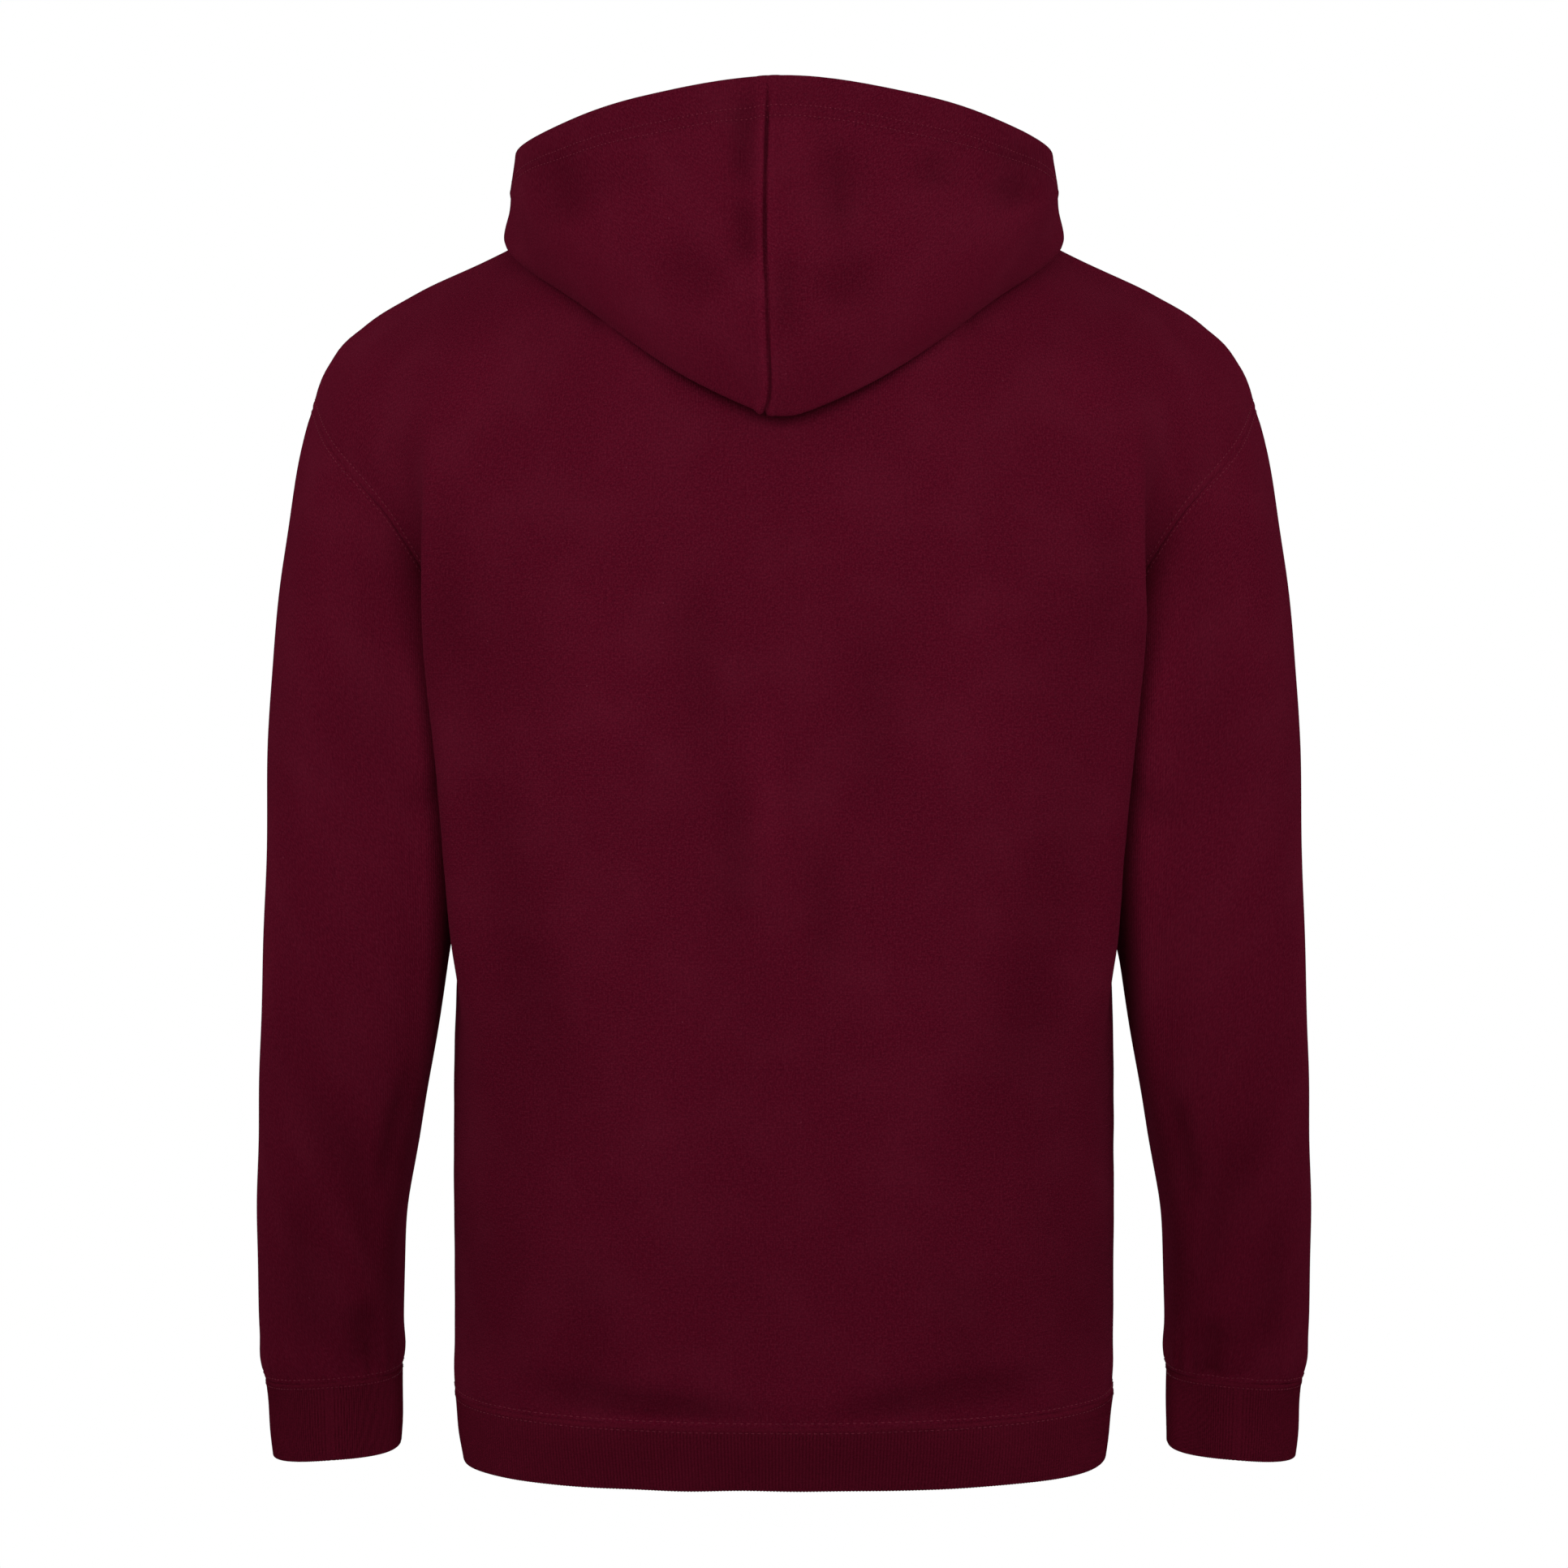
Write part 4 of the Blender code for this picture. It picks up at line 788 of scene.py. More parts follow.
def add_shell(name, cloth, thickness, finishes, free_ends=(), bulges=None, inner_step=1):
    """Makes the cloth a closed wall and returns its object.

    free_ends names the rows that are free edges ("first", "last"), which are rounded. bulges gives how far
    the middle of an edge column stands out, as a share of the thickness: a free edge's does, and at a seam
    one edge's reaches a little into the other's. The inside takes every inner_step-th row.
    """
    outer = cloth.points.copy()
    outer[0] += unit(outer[1] - outer[0]) * SEAM_GAP / 2
    outer[-1] += unit(outer[-2] - outer[-1]) * SEAM_GAP / 2
    if not cloth.closed:
        outer[:, 0] += unit(outer[:, 1] - outer[:, 0]) * SEAM_GAP / 2
        outer[:, -1] += unit(outer[:, -2] - outer[:, -1]) * SEAM_GAP / 2
    inner = outer - cloth.out * thickness
    inner_rows = sorted(set(range(0, len(outer), inner_step)) | {len(outer) - 1})

    def rim(row, next_row):
        """Points of a half round edge, from outside to inside."""
        away = unit(outer[row] - outer[next_row])
        middle, half = (outer[row] + inner[row]) / 2, thickness / 2
        angles = [math.radians(a) for a in RIM_ANGLES]
        return [middle + cloth.out[row] * half * math.sin(a) + away * half * math.cos(a) for a in angles]

    end = rim(-1, -2) if "last" in free_ends else []
    start = rim(0, 1)[::-1] if "first" in free_ends else []

    def layered(lengths):
        """The cloth's lengths for each layer: the outside's rows, a rim's, the inside's and a rim's."""
        return [*lengths, *[lengths[-1]] * len(end), *lengths[inner_rows[::-1]], *[lengths[0]] * len(start)]

    points = np.array([*outer, *end, *inner[inner_rows[::-1]], *start])
    rows, columns = points.shape[:2]
    v_rows = [wrap(row, cloth, False) for row in layered(cloth.along)]
    u_rows = [wrap(row - row[cloth.straight], cloth) for row in layered(cloth.across)]
    inside_from = len(outer) + len(end)
    inside_to = inside_from + len(inner_rows) - 1

    column = np.arange(columns if cloth.closed else columns - 1)
    beside = (column + 1) % columns
    faces, corners, inside = [], [], []
    for row in range(rows):
        after = (row + 1) % rows
        low, high = row * columns, after * columns
        faces.append(np.stack([low + column, low + beside, high + beside, high + column], axis=1))
        places = ((row, column), (row, column + 1), (after, column + 1), (after, column))
        corners.append(np.stack([lengths[r][c] for r, c in places for lengths in (u_rows, v_rows)], axis=1))
        inside.append(np.full(len(column), inside_from <= row < inside_to))
    face_list, inside = np.concatenate(faces).tolist(), np.concatenate(inside).tolist()
    uvs = np.concatenate(corners).reshape(-1, 2)
    vertices = points.reshape(-1, 3)

    if not cloth.closed:
        extra_faces, vertices = close_columns(vertices, rows, columns, len(outer), len(end), inner_rows,
                                              inner_step, bulges or {}, thickness)
        face_list += extra_faces
        inside += [False] * len(extra_faces)
        uvs = np.concatenate([uvs] + [vertices[face][:, [0, 2]] for face in extra_faces])

    mesh = bpy.data.meshes.new(name)
    mesh.from_pydata(vertices.tolist(), [], face_list)
    for finish in finishes:
        mesh.materials.append(finish)
    mesh.polygons.foreach_set("material_index", [int(i) if len(finishes) > 1 else 0 for i in inside])
    # The folds' heights, in millimetres, for the shade and light painted into the cloth's colour.
    relief = np.zeros(len(vertices), np.float32)
    relief[:cloth.relief.size] = cloth.relief.ravel() * 1000
    mesh.attributes.new("relief", "FLOAT", "POINT").data.foreach_set("value", relief)
    mesh.uv_layers.new(name="cloth").data.foreach_set("uv", uvs.astype(np.float32).ravel())
    mesh.shade_smooth()
    mesh.set_sharp_from_angle(angle=math.radians(60))
    return add_object(name, mesh)


def wrap(row, cloth, growing=True):
    """A row of the cloth's lengths with one more at its end, where a ring comes round to its first column."""
    if not cloth.closed:
        return row
    last = row[-1] + (row[-1] - row[-2]) if growing else row[0]
    return np.append(row, last)


def close_columns(vertices, rows, columns, outer_rows, rim_rows, inner_rows, inner_step, bulges, thickness):
    """Faces that close a wall's first and last columns, with a line of points between if an edge bulges."""
    faces = []
    inner_from = outer_rows + rim_rows
    inner_to = inner_from + len(inner_rows)
    for column, name, turn in ((0, "first", 1), (columns - 1, "last", -1)):
        loop = [row * columns + column for row in range(rows)]
        if inner_step > 1:
            faces.append(loop[::turn])
            continue
        outside, inside = loop[:outer_rows], loop[inner_from:inner_to][::-1]
        strips = [(outside, inside)]
        if name in bulges:
            away = unit(vertices[outside] - vertices[np.array(outside) + turn])
            middle = (vertices[outside] + vertices[inside]) / 2 + away * thickness * bulges[name]
            between = list(range(len(vertices), len(vertices) + len(middle)))
            vertices = np.concatenate([vertices, middle])
            strips = [(outside, between), (between, inside)]
        for front, behind in strips:
            faces += [[front[i], front[i + 1], behind[i + 1], behind[i]][::turn]
                      for i in range(outer_rows - 1)]
        # The ends of the rims, where there are any.
        for rim in (loop[outer_rows - 1:inner_from + 1], loop[inner_to - 1:] + loop[:1]):
            if len(rim) > 2:
                faces.append(rim[::turn])
    return faces, vertices


# ---- Materials ----
def linear(hex_colour):
    channels = [int(hex_colour[i:i + 2], 16) / 255 for i in (0, 2, 4)]
    return tuple(c / 12.92 if c <= 0.04045 else ((c + 0.055) / 1.055) ** 2.4 for c in channels) + (1.0,)


def node(tree, kind, inputs=None, **settings):
    """Adds a node with its settings (attributes, or inputs by name) and its inputs (links or values)."""
    made = tree.nodes.new(kind)
    for name, value in settings.items():
        if hasattr(made, name):
            setattr(made, name, value)
        else:
            made.inputs[name.replace("_", " ")].default_value = value
    for name, source in (inputs or {}).items():
        if isinstance(source, bpy.types.NodeSocket):
            tree.links.new(source, made.inputs[name])
        else:
            made.inputs[name].default_value = source
    return made


def reckon(tree, operation, *values):
    """The result of a sum with links or numbers."""
    return node(tree, "ShaderNodeMath", dict(enumerate(values)), operation=operation).outputs[0]


def new_material(name, roughness, **shader_values):
    material = bpy.data.materials.new(name)
    material.use_nodes = True
    tree = material.node_tree
    shader = tree.nodes["Principled BSDF"]
    for label, value in {"Roughness": roughness, **shader_values}.items():
        shader.inputs[label.replace("_", " ")].default_value = value
    return material, tree, shader


def add_bump(tree, shader, height, strength, distance):
    bump = node(tree, "ShaderNodeBump", {"Height": height}, Strength=strength, Distance=distance)
    tree.links.new(bump.outputs["Normal"], shader.inputs["Normal"])


def add_two_tones(tree, shader, source, dark, light):
    ramp = node(tree, "ShaderNodeValToRGB", {"Fac": source})
    for element, colour in zip(ramp.color_ramp.elements, (dark, light)):
        element.color = linear(colour)
    tree.links.new(ramp.outputs["Color"], shader.inputs["Base Color"])


def bands(tree, place, direction, pitch):
    """Bands at a pitch in metres. A wave texture at scale 1 has one every pi / 10 of a unit."""
    return node(tree, "ShaderNodeTexWave", {"Vector": place}, wave_type="BANDS", bands_direction=direction,
                Scale=math.pi / 10 / pitch).outputs["Fac"]


def noise(tree, place, scale, detail, **settings):
    return node(tree, "ShaderNodeTexNoise", {"Vector": place}, Scale=scale, Detail=detail, **settings)


def knit(name, base, dark, light, wale, course, fuzz, sheen, sheen_tint, lint=True):
    """A knitted cloth: wales up the piece, broken into courses, with uneven yarn, a brushed surface, and
    shade and light painted into its colour from its relief.
    """
    material, tree, shader = new_material(name, 0.92, Sheen_Weight=sheen, Sheen_Roughness=0.35,
                                          Sheen_Tint=linear(sheen_tint), Specular_IOR_Level=0.0)
    place = node(tree, "ShaderNodeUVMap", uv_map="cloth").outputs["UV"]
    # Wales and courses: one band for each column and row of stitches, nudged aside by the knit's unevenness.
    warp = noise(tree, place, 90.0, 2.0).outputs["Color"]
    nudged = node(tree, "ShaderNodeVectorMath", {0: warp, "Scale": wale * 0.5}, operation="SCALE").outputs[0]
    shifted = node(tree, "ShaderNodeVectorMath", {0: place, 1: nudged}, operation="ADD").outputs[0]
    wales, courses = bands(tree, shifted, "X", wale), bands(tree, shifted, "Y", course)
    # Slubs: the yarn's own thick and thin places, drawn out along the courses that the yarn runs in.
    slub_size = (1 / (wale * 1.7), 1 / (wale * 1.1), 1.0)
    drawn = node(tree, "ShaderNodeMapping", {"Vector": place, "Scale": slub_size}, vector_type="POINT")
    slubs = noise(tree, drawn.outputs[0], 1.0, 3.0, Roughness=0.6).outputs["Fac"]
    grain = noise(tree, place, 1 / 0.0011, 2.0, Roughness=0.7).outputs["Fac"]
    mottle = noise(tree, place, 1 / 0.045, 3.0, Roughness=0.5).outputs["Fac"]

    def mix(a, b, factor, blend="MIX"):
        mixed = node(tree, "ShaderNodeMix", data_type="RGBA", blend_type=blend)
        for socket, value in (("Factor_Float", factor), ("A_Color", a), ("B_Color", b)):
            target = next(s for s in mixed.inputs if s.identifier == socket)
            if isinstance(value, bpy.types.NodeSocket):
                tree.links.new(value, target)
            else:
                target.default_value = value
        return next(s for s in mixed.outputs if s.identifier == "Result_Color")

    def ramp(source, low, high, to_low=0.0, to_high=1.0):
        return node(tree, "ShaderNodeMapRange", {"Value": source}, From_Min=low, From_Max=high, To_Min=to_low,
                    To_Max=to_high).outputs[0]

    colour = mix(linear(dark), linear(base), ramp(slubs, 0.20, 0.60))
    for tone, source, low, high, most in (
            (light, grain, 0.45, 0.75, 0.65), (dark, grain, 0.50, 0.25, 0.55), (dark, wales, 0.35, 0.0, 0.12),
            (dark, courses, 0.30, 0.0, 0.20), (light, mottle, 0.45, 0.75, 0.16)):
        colour = mix(colour, linear(tone), ramp(source, low, high, 0.0, most))
    if lint:
        # Lint: rare pale flecks of fibre, half a millimetre across.
        flecks = node(tree, "ShaderNodeTexVoronoi", {"Vector": place}, feature="F1", Scale=1 / 0.011)
        chance = node(tree, "ShaderNodeSeparateColor", {"Color": flecks.outputs["Color"]}).outputs["Red"]
        rare = reckon(tree, "GREATER_THAN", chance, 0.80)
        fleck = reckon(tree, "MULTIPLY", ramp(flecks.outputs["Distance"], 0.034, 0.020), rare)
        colour = mix(colour, linear("9A4A60"), reckon(tree, "MULTIPLY", fleck, 0.45))
    # Painted shade and light: the colour is darker in the hollows and lighter on the ridges of the relief,
    # which is in millimetres.
    shade_relief = node(tree, "ShaderNodeAttribute", attribute_name="relief").outputs["Fac"]
    colour = mix(colour, ramp(shade_relief, -2.5, 2.5, 1 - PAINTED_SHADE, 1 + PAINTED_SHADE), 1.0, "MULTIPLY")
    tree.links.new(colour, shader.inputs["Base Color"])

    ridges = reckon(tree, "MULTIPLY", wales, 0.6)
    yarn = reckon(tree, "ADD", slubs, ridges)
    rough = reckon(tree, "MULTIPLY_ADD", grain, fuzz, yarn)
    height = reckon(tree, "ADD", rough, reckon(tree, "MULTIPLY", courses, ridges))
    add_bump(tree, shader, height, 0.55, 0.00035)
    return material


def thread_material():
    """Polyester sewing thread, twisted and slightly glossy, dyed to match the cloth."""
    material, tree, shader = new_material("sewing_thread", 0.65, Specular_IOR_Level=0.12)
    place = node(tree, "ShaderNodeTexCoord").outputs["Object"]
    add_two_tones(tree, shader, noise(tree, place, 700.0, 1.0).outputs["Fac"], "4E0C1E", "84243C")
    return material


def tape_material():
    """Woven polyester zip tape: a fine herringbone twill of flat, matt yarns."""
    material, tree, shader = new_material("woven_zip_tape", 0.80, Sheen_Weight=0.15)
    place = node(tree, "ShaderNodeUVMap", uv_map="cloth").outputs["UV"]
    twill = bands(tree, place, "DIAGONAL", 0.0007)
    add_two_tones(tree, shader, twill, "3E0717", "571022")
    add_bump(tree, shader, twill, 0.5, 0.0001)
    return material


def metal_material():
    """Nickel plated zinc, die cast and tumbled: satin, with faint scuffs that vary its gloss."""
    material, tree, shader = new_material("nickel_plated_zinc", 0.32, Metallic=1.0)
    place = node(tree, "ShaderNodeTexCoord").outputs["Object"]
    scuffs = noise(tree, place, 900.0, 3.0).outputs["Fac"]
    roughness = node(tree, "ShaderNodeMapRange", {"Value": scuffs}, From_Min=0.3, From_Max=0.7,
                     To_Min=0.24, To_Max=0.42)
    tree.links.new(roughness.outputs[0], shader.inputs["Roughness"])
    shader.inputs["Base Color"].default_value = linear("B9B9B6")
    add_bump(tree, shader, scuffs, 0.15, 0.00005)
    return material


# ---- Repeated things ----
def set_inputs(modifier, values):
    """Sets a Geometry Nodes modifier's inputs by their names, through their sockets' identifiers."""
    for item in modifier.node_group.interface.items_tree:
        if item.item_type == "SOCKET" and item.in_out == "INPUT" and item.name in values:
            modifier[item.identifier] = values[item.name]


def row_tree(name, template):
    """Geometry Nodes that set copies of a template, or of a stitch, along lines that carry the way out."""
    tree = bpy.data.node_groups.new(name, "GeometryNodeTree")
    face = tree.interface
    face.new_socket("Geometry", in_out="INPUT", socket_type="NodeSocketGeometry")
    for label, value in (("Pitch", 0.003), ("Length", 0.002), ("Radius", 0.0003), ("Unevenness", 0.06)):
        face.new_socket(label, in_out="INPUT", socket_type="NodeSocketFloat").default_value = value
    face.new_socket("Seed", in_out="INPUT", socket_type="NodeSocketInt").default_value = 1
    face.new_socket("Finish", in_out="INPUT", socket_type="NodeSocketMaterial")
    face.new_socket("Geometry", in_out="OUTPUT", socket_type="NodeSocketGeometry")
    given = node(tree, "NodeGroupInput").outputs

    def step(kind, inputs=None, **settings):
        return node(tree, kind, inputs, **settings).outputs[0]

    lines = step("GeometryNodeMeshToCurve", {"Mesh": given["Geometry"]})
    spaced = step("GeometryNodeResampleCurve", {"Curve": lines, "Length": given["Pitch"]}, mode="LENGTH")
    # Each copy lies along its line, with its top to the way out, and is turned a little at random.
    way_out = step("GeometryNodeInputNamedAttribute", data_type="FLOAT_VECTOR", Name="way_out")
    along = step("FunctionNodeAlignRotationToVector", {"Vector": step("GeometryNodeInputTangent")}, axis="X")
    upright = step("FunctionNodeAlignRotationToVector", {"Rotation": along, "Vector": way_out},
                   axis="Z", pivot_axis="X")
    wobble = step("FunctionNodeRandomValue", {"Seed": given["Seed"], 0: (-1, -1, -1), 1: (1, 1, 1)},
                  data_type="FLOAT_VECTOR")
    small = step("ShaderNodeVectorMath", {0: wobble, "Scale": given["Unevenness"]}, operation="SCALE")
    euler = step("FunctionNodeEulerToRotation", {0: small})
    turned = step("FunctionNodeRotateRotation", {"Rotation": upright, 1: euler}, rotation_space="LOCAL")
    if template is None:
        ball = step("GeometryNodeMeshUVSphere", Segments=6, Rings=5, Radius=1.0)
        half = reckon(tree, "MULTIPLY", given["Length"], 0.5)
        size = step("ShaderNodeCombineXYZ", {"X": half, "Y": given["Radius"], "Z": given["Radius"]})
        shape = step("GeometryNodeTransform", {"Geometry": ball, "Scale": size})
    else:
        shape = node(tree, "GeometryNodeObjectInfo", {"Object": template}).outputs["Geometry"]
    copies = step("GeometryNodeInstanceOnPoints", {"Points": spaced, "Instance": shape, "Rotation": turned})
    real = step("GeometryNodeRealizeInstances", {"Geometry": copies})
    smooth = step("GeometryNodeSetShadeSmooth", {"Geometry": real})
    painted = step("GeometryNodeSetMaterial", {"Geometry": smooth, "Material": given["Finish"]})
    node(tree, "NodeGroupOutput", {0: painted})
    return tree


def add_row(name, tree, lines, body, slot, **inputs):
    """Runs a row tree over lines of (points, directions out) and keeps the result as a plain mesh."""
    points, outs, edges = [], [], []
    for line, out in lines:
        start = len(points)
        points += line.tolist()
        outs += out.tolist()
        edges += [(start + i, start + i + 1) for i in range(len(line) - 1)]
    mesh = bpy.data.meshes.new(name + "_line")
    mesh.from_pydata(points, edges, [])
    mesh.attributes.new("way_out", "FLOAT_VECTOR", "POINT").data.foreach_set("vector", np.ravel(outs))
    carrier = add_object(name + "_line", mesh)
    modifier = carrier.modifiers.new("row", "NODES")
    modifier.node_group = tree
    set_inputs(modifier, inputs)
    graph = bpy.context.evaluated_depsgraph_get()
    result = bpy.data.meshes.new_from_object(carrier.evaluated_get(graph), depsgraph=graph)
    bpy.data.objects.remove(carrier)
    obj = add_object(name, result)
    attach(obj, body)
    return obj


# ---- The pieces ----
def declare(obj, cloth, replaced):
    """Hangs a piece on the garment and hides the solid that it stands for. The width of its face is reckoned
    but not used.
    """
    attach(obj, GARMENT)
    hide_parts(replaced)
    ring = ring_of(cloth.first_form, cloth.closed)
    width = lengths_along(ring.transpose(1, 0, 2))[-1].max()


def raise_panels(back, fronts):
    """Creases, seams and unevenness of the back and the fronts. The right front's creases differ a little."""
    left, right = fronts["left"], fronts["right"]
    for cloth, table, seed, sides, zip_edge in (
            (back, BACK_CREASES, 3, ("first_column", "last_column"), None),
            (left, FRONT_CREASES, 5, ("last_column",), "first_column"),
            (right, FRONT_CREASES, 7, ("first_column",), "last_column")):
        x, z = cloth.points[..., 0], cloth.points[..., 2]
        folds = creases(-x * 1.03, z * 0.985, table) if cloth is right else creases(x, z, table)
        side_gap = np.min([cloth.from_edge(edge) for edge in sides], axis=0)
        hem_gap = cloth.from_edge("first_row")
        off_hem = ease(hem_gap, BAND_CALM)
        calm = ease(side_gap, SEAM_CALM) * off_hem
        rest = unevenness(x, z, seed, size=0.10, height=0.0005) * calm
        rest += (unevenness(x, z, seed + 20, size=0.035, height=0.00012)
                 + puckers(x, hem_gap, seed + 40, pitch=0.020, reach=0.018, height=0.0006)) * off_hem
        rest += stand_out(hem_gap, HEM_BLOUSE) * calm
        # The seams go in with the folds, so that their grooves are painted darker and their swells lighter
        # too.
        folds = folds * calm + stitched_seam(hem_gap, HEM_BODY_ROW)
        folds += seam(cloth.from_edge("last_row"), groove=0.0009, allowance=0.0003)
        armhole = np.arange(len(cloth.points))[:, None] >= LOW_STEPS
        folds += np.where(armhole, stitched_seam(side_gap, ARMHOLE_BODY_ROW),
                          seam(side_gap, groove=0.0009, allowance=0.0003))
        if zip_edge:
            zip_gap = cloth.from_edge(zip_edge)
            folds += needle_channel(zip_gap, ZIP_ROW)
            rest += puckers(z, zip_gap, seed + 60, pitch=0.016, reach=0.012, height=0.0003)
        cloth.raise_by(folds, rest)


def raise_sleeves(sleeves, sleeve_turn):
    """Creases, seams and unevenness of the sleeves. The right one's creases differ a little."""
    for side, cloth in sleeves.items():
        right = side == "right"
        turn = np.broadcast_to(sleeve_turn[::-1] if right else sleeve_turn, cloth.points.shape[:2])
        z = cloth.points[..., 2]
        folds = creases(turn + (7 if right else 0), z * (0.985 if right else 1), SLEEVE_CREASES, 360)
        top, bottom = cloth.from_edge("first_row"), cloth.from_edge("last_row")
        calm = ease(bottom, BAND_CALM)
        round_x, round_y = np.cos(np.radians(turn)) * 0.06, np.sin(np.radians(turn)) * 0.05
        rest = unevenness(round_x, z + round_y, seed=11, size=0.09, height=0.0005)
        rest += puckers(turn * TURN_ARC, bottom, 17 if right else 13, pitch=0.014, reach=0.020, height=0.0009)
        rest = rest * calm + stand_out(bottom, CUFF_BLOUSE)
        folds = folds * ease(top, SEAM_CALM) * calm
        # The seams go in with the folds, so that their grooves are painted darker too.
        folds += stitched_seam(top, ARMHOLE_SLEEVE_ROW) + stitched_seam(bottom, CUFF_SLEEVE_ROW)
        cloth.raise_by(folds, rest)


def raise_hoods(hoods, steps):
    """Creases of the hood's outer side, its centre seam and the hem along the face, which is a casing."""
    past_fold = (steps - HOOD_FOLD)[:, None]
    for side, cloth in hoods.items():
        x, z = cloth.points[..., 0], cloth.points[..., 2]
        outside = ease(past_fold, 0.08) * (cloth.points[..., 1] > 0)
        folds = creases(x, z, HOOD_CREASES) * outside
        centre_gap, face_gap = cloth.from_edge(f"{FAR[side]}_column"), cloth.from_edge("last_row")
        groove = HOOD_GROOVE * np.clip((face_gap - 0.001) / 0.022, 0.12, 1)
        # The seams go in with the creases, so that their grooves are painted darker too.
        folds += (seam(centre_gap, groove, allowance=0.0006, reach=0.0055)
                  + seam(cloth.from_edge("first_row"), groove=0.0008, allowance=0.0002))
        if side == "left":
            # The seam's allowance lies to this side.
            folds += 0.0009 * bell(centre_gap - 0.0026, 0.0016) * ease(face_gap, 0.02)
        folds += sum(needle_channel(face_gap, at) for at in CASING_ROWS)
        casing = ease(CASING_ROWS[1] + 0.0022 - face_gap, 0.0012)
        # Painted highlight along the lower fold, where the cloth turns away from the lamps, and the casing's
        # band painted a little darker. It goes into the folds for the colour and is taken off the rest again,
        # so the shape doesn't change.
        painted_tone = 0.0020 * bell(past_fold - 0.030, 0.035) - 0.0006 * casing
        swells = unevenness(x, z, seed=23, size=0.07, height=0.0003)
        cloth.raise_by(folds + painted_tone, swells - painted_tone + 0.0007 * casing)


def raise_ribs(bands_and_rows):
    """Ribs of the hem band and the cuffs, each with the place of its row of stitches."""
    for cloth, row in bands_and_rows:
        columns = np.arange(cloth.points.shape[1])
        rib = np.abs(np.sin(math.pi * columns / RIB_COLUMNS)) ** 0.7 - 0.5
        seam_gap = cloth.from_edge("first_row")
        strength = ease(seam_gap, 0.004)
        # The ribs and the seam go in as folds, so that the ribs' valleys are painted darker and their tops
        # lighter.
        cloth.raise_by(RIB_HEIGHT * rib[None, :] * strength + stitched_seam(seam_gap, row),
                       unevenness(cloth.across, cloth.along, seed=31, size=0.05, height=0.0004) * strength)


def main():
    fleece = knit("burgundy_sweatshirt_knit", "590B20", "47091B", "6F2135",
                  wale=0.0014, course=0.0011, fuzz=0.9, sheen=0.30, sheen_tint="8A2C46")
    brushed = knit("brushed_fleece_inside", "5E1025", "4B0A1C", "741B34",
                   wale=0.0030, course=0.0026, fuzz=1.6, sheen=0.12, sheen_tint="9A3C56", lint=False)
    ribbing = knit("burgundy_rib_knit", "591023", "470C1A", "69162B",
                   wale=0.00095, course=0.0010, fuzz=0.6, sheen=0.03, sheen_tint="8A2C46", lint=False)
    thread, tape, metal = thread_material(), tape_material(), metal_material()

    back_half, front_skin = half_panel(1), half_panel(-1)
    back_skin = np.concatenate([mirrored(back_half)[:, :-1], back_half], axis=1)[:, ::-1]
    sleeve_skin, sleeve_turn = left_sleeve(back_half, front_skin)
    outermost = int(np.argmin(np.abs(sleeve_turn)))
    hood_steps = np.concatenate([marks(HOOD_UNDER_LENGTH, True, False) * HOOD_FOLD,
                                 HOOD_FOLD + (1 - HOOD_FOLD) * marks(HOOD_OUTER_LENGTH, False, True)[1:]])
    hood_skin = left_hood(back_half, front_skin, hood_steps)
    left_hood_skin, right_hood_skin = hang_hood_seam(hood_skin.copy(), mirrored(hood_skin), hood_steps)
    band_down = np.concatenate([BAND_MARKS, np.linspace(0.22, 1, 8)])
    hem_skin, cuff_skin = hem_band(band_down), left_cuff(band_down)

    back = Cloth(back_skin, straight=back_skin.shape[1] // 2)
    fronts = {"left": Cloth(front_skin), "right": Cloth(mirrored(front_skin), straight=-1)}
    sleeves = {"left": Cloth(sleeve_skin, True, outermost),
               "right": Cloth(mirrored(sleeve_skin), True, -1 - outermost)}
    hoods = {"left": Cloth(left_hood_skin, straight=-1), "right": Cloth(right_hood_skin)}
    cuffs = {"left": Cloth(cuff_skin, True), "right": Cloth(mirrored(cuff_skin), True)}
    hem = Cloth(hem_skin)

    seamed = [back, *fronts.values(), *sleeves.values(), *hoods.values()]
    share_directions(seamed)
    raise_panels(back, fronts)
    raise_sleeves(sleeves, sleeve_turn)
    raise_hoods(hoods, hood_steps)
    join_edges(seamed)
    raise_ribs([(hem, HEM_RIB_ROW)] + [(cuff, CUFF_RIB_ROW) for cuff in cuffs.values()])

    def piece(name, cloth, thickness, finishes, held, slot, rests_on, **edges):
        obj = add_shell(name + "_cloth", cloth, thickness, finishes, **edges)
        declare(obj, cloth, name)

    body_finish, rib_finish = [fleece, brushed], [ribbing, ribbing]
    piece("back", back, FLEECE, body_finish, "hung", "fleece", ["front_left", "front_right"])
    for side in SIDES:
        # The hood's left half reaches a little into the right one at the centre seam.
        meeting = {NEAR[side]: 0.4, FAR[side]: 0.2 if side == "left" else -0.2}
        piece(f"front_{side}", fronts[side], FLEECE, body_finish, "hung", "fleece", ["back"],
              bulges={NEAR[side]: 0.4})
        piece(f"sleeve_{side}", sleeves[side], FLEECE, body_finish, "hung", "fleece",
              ["back", f"front_{side}"])
        piece(f"hood_{side}", hoods[side], HOOD_FLEECE, [fleece, fleece], "folded", "fleece", ["back"],
              free_ends=("last",), bulges=meeting)
        piece(f"cuff_{side}", cuffs[side], RIBBING, rib_finish, "stretched", "ribbing", [f"sleeve_{side}"],
              free_ends=("last",), inner_step=5)
    piece("hem_rib", hem, RIBBING, rib_finish, "stretched", "ribbing", ["back", "front_left", "front_right"],
          free_ends=("last",), inner_step=5)

    add_stitches(back, fronts, sleeves, hoods, cuffs, hem, thread)
    add_zip(front_skin, hem_skin, tape, metal)
    add_studio()


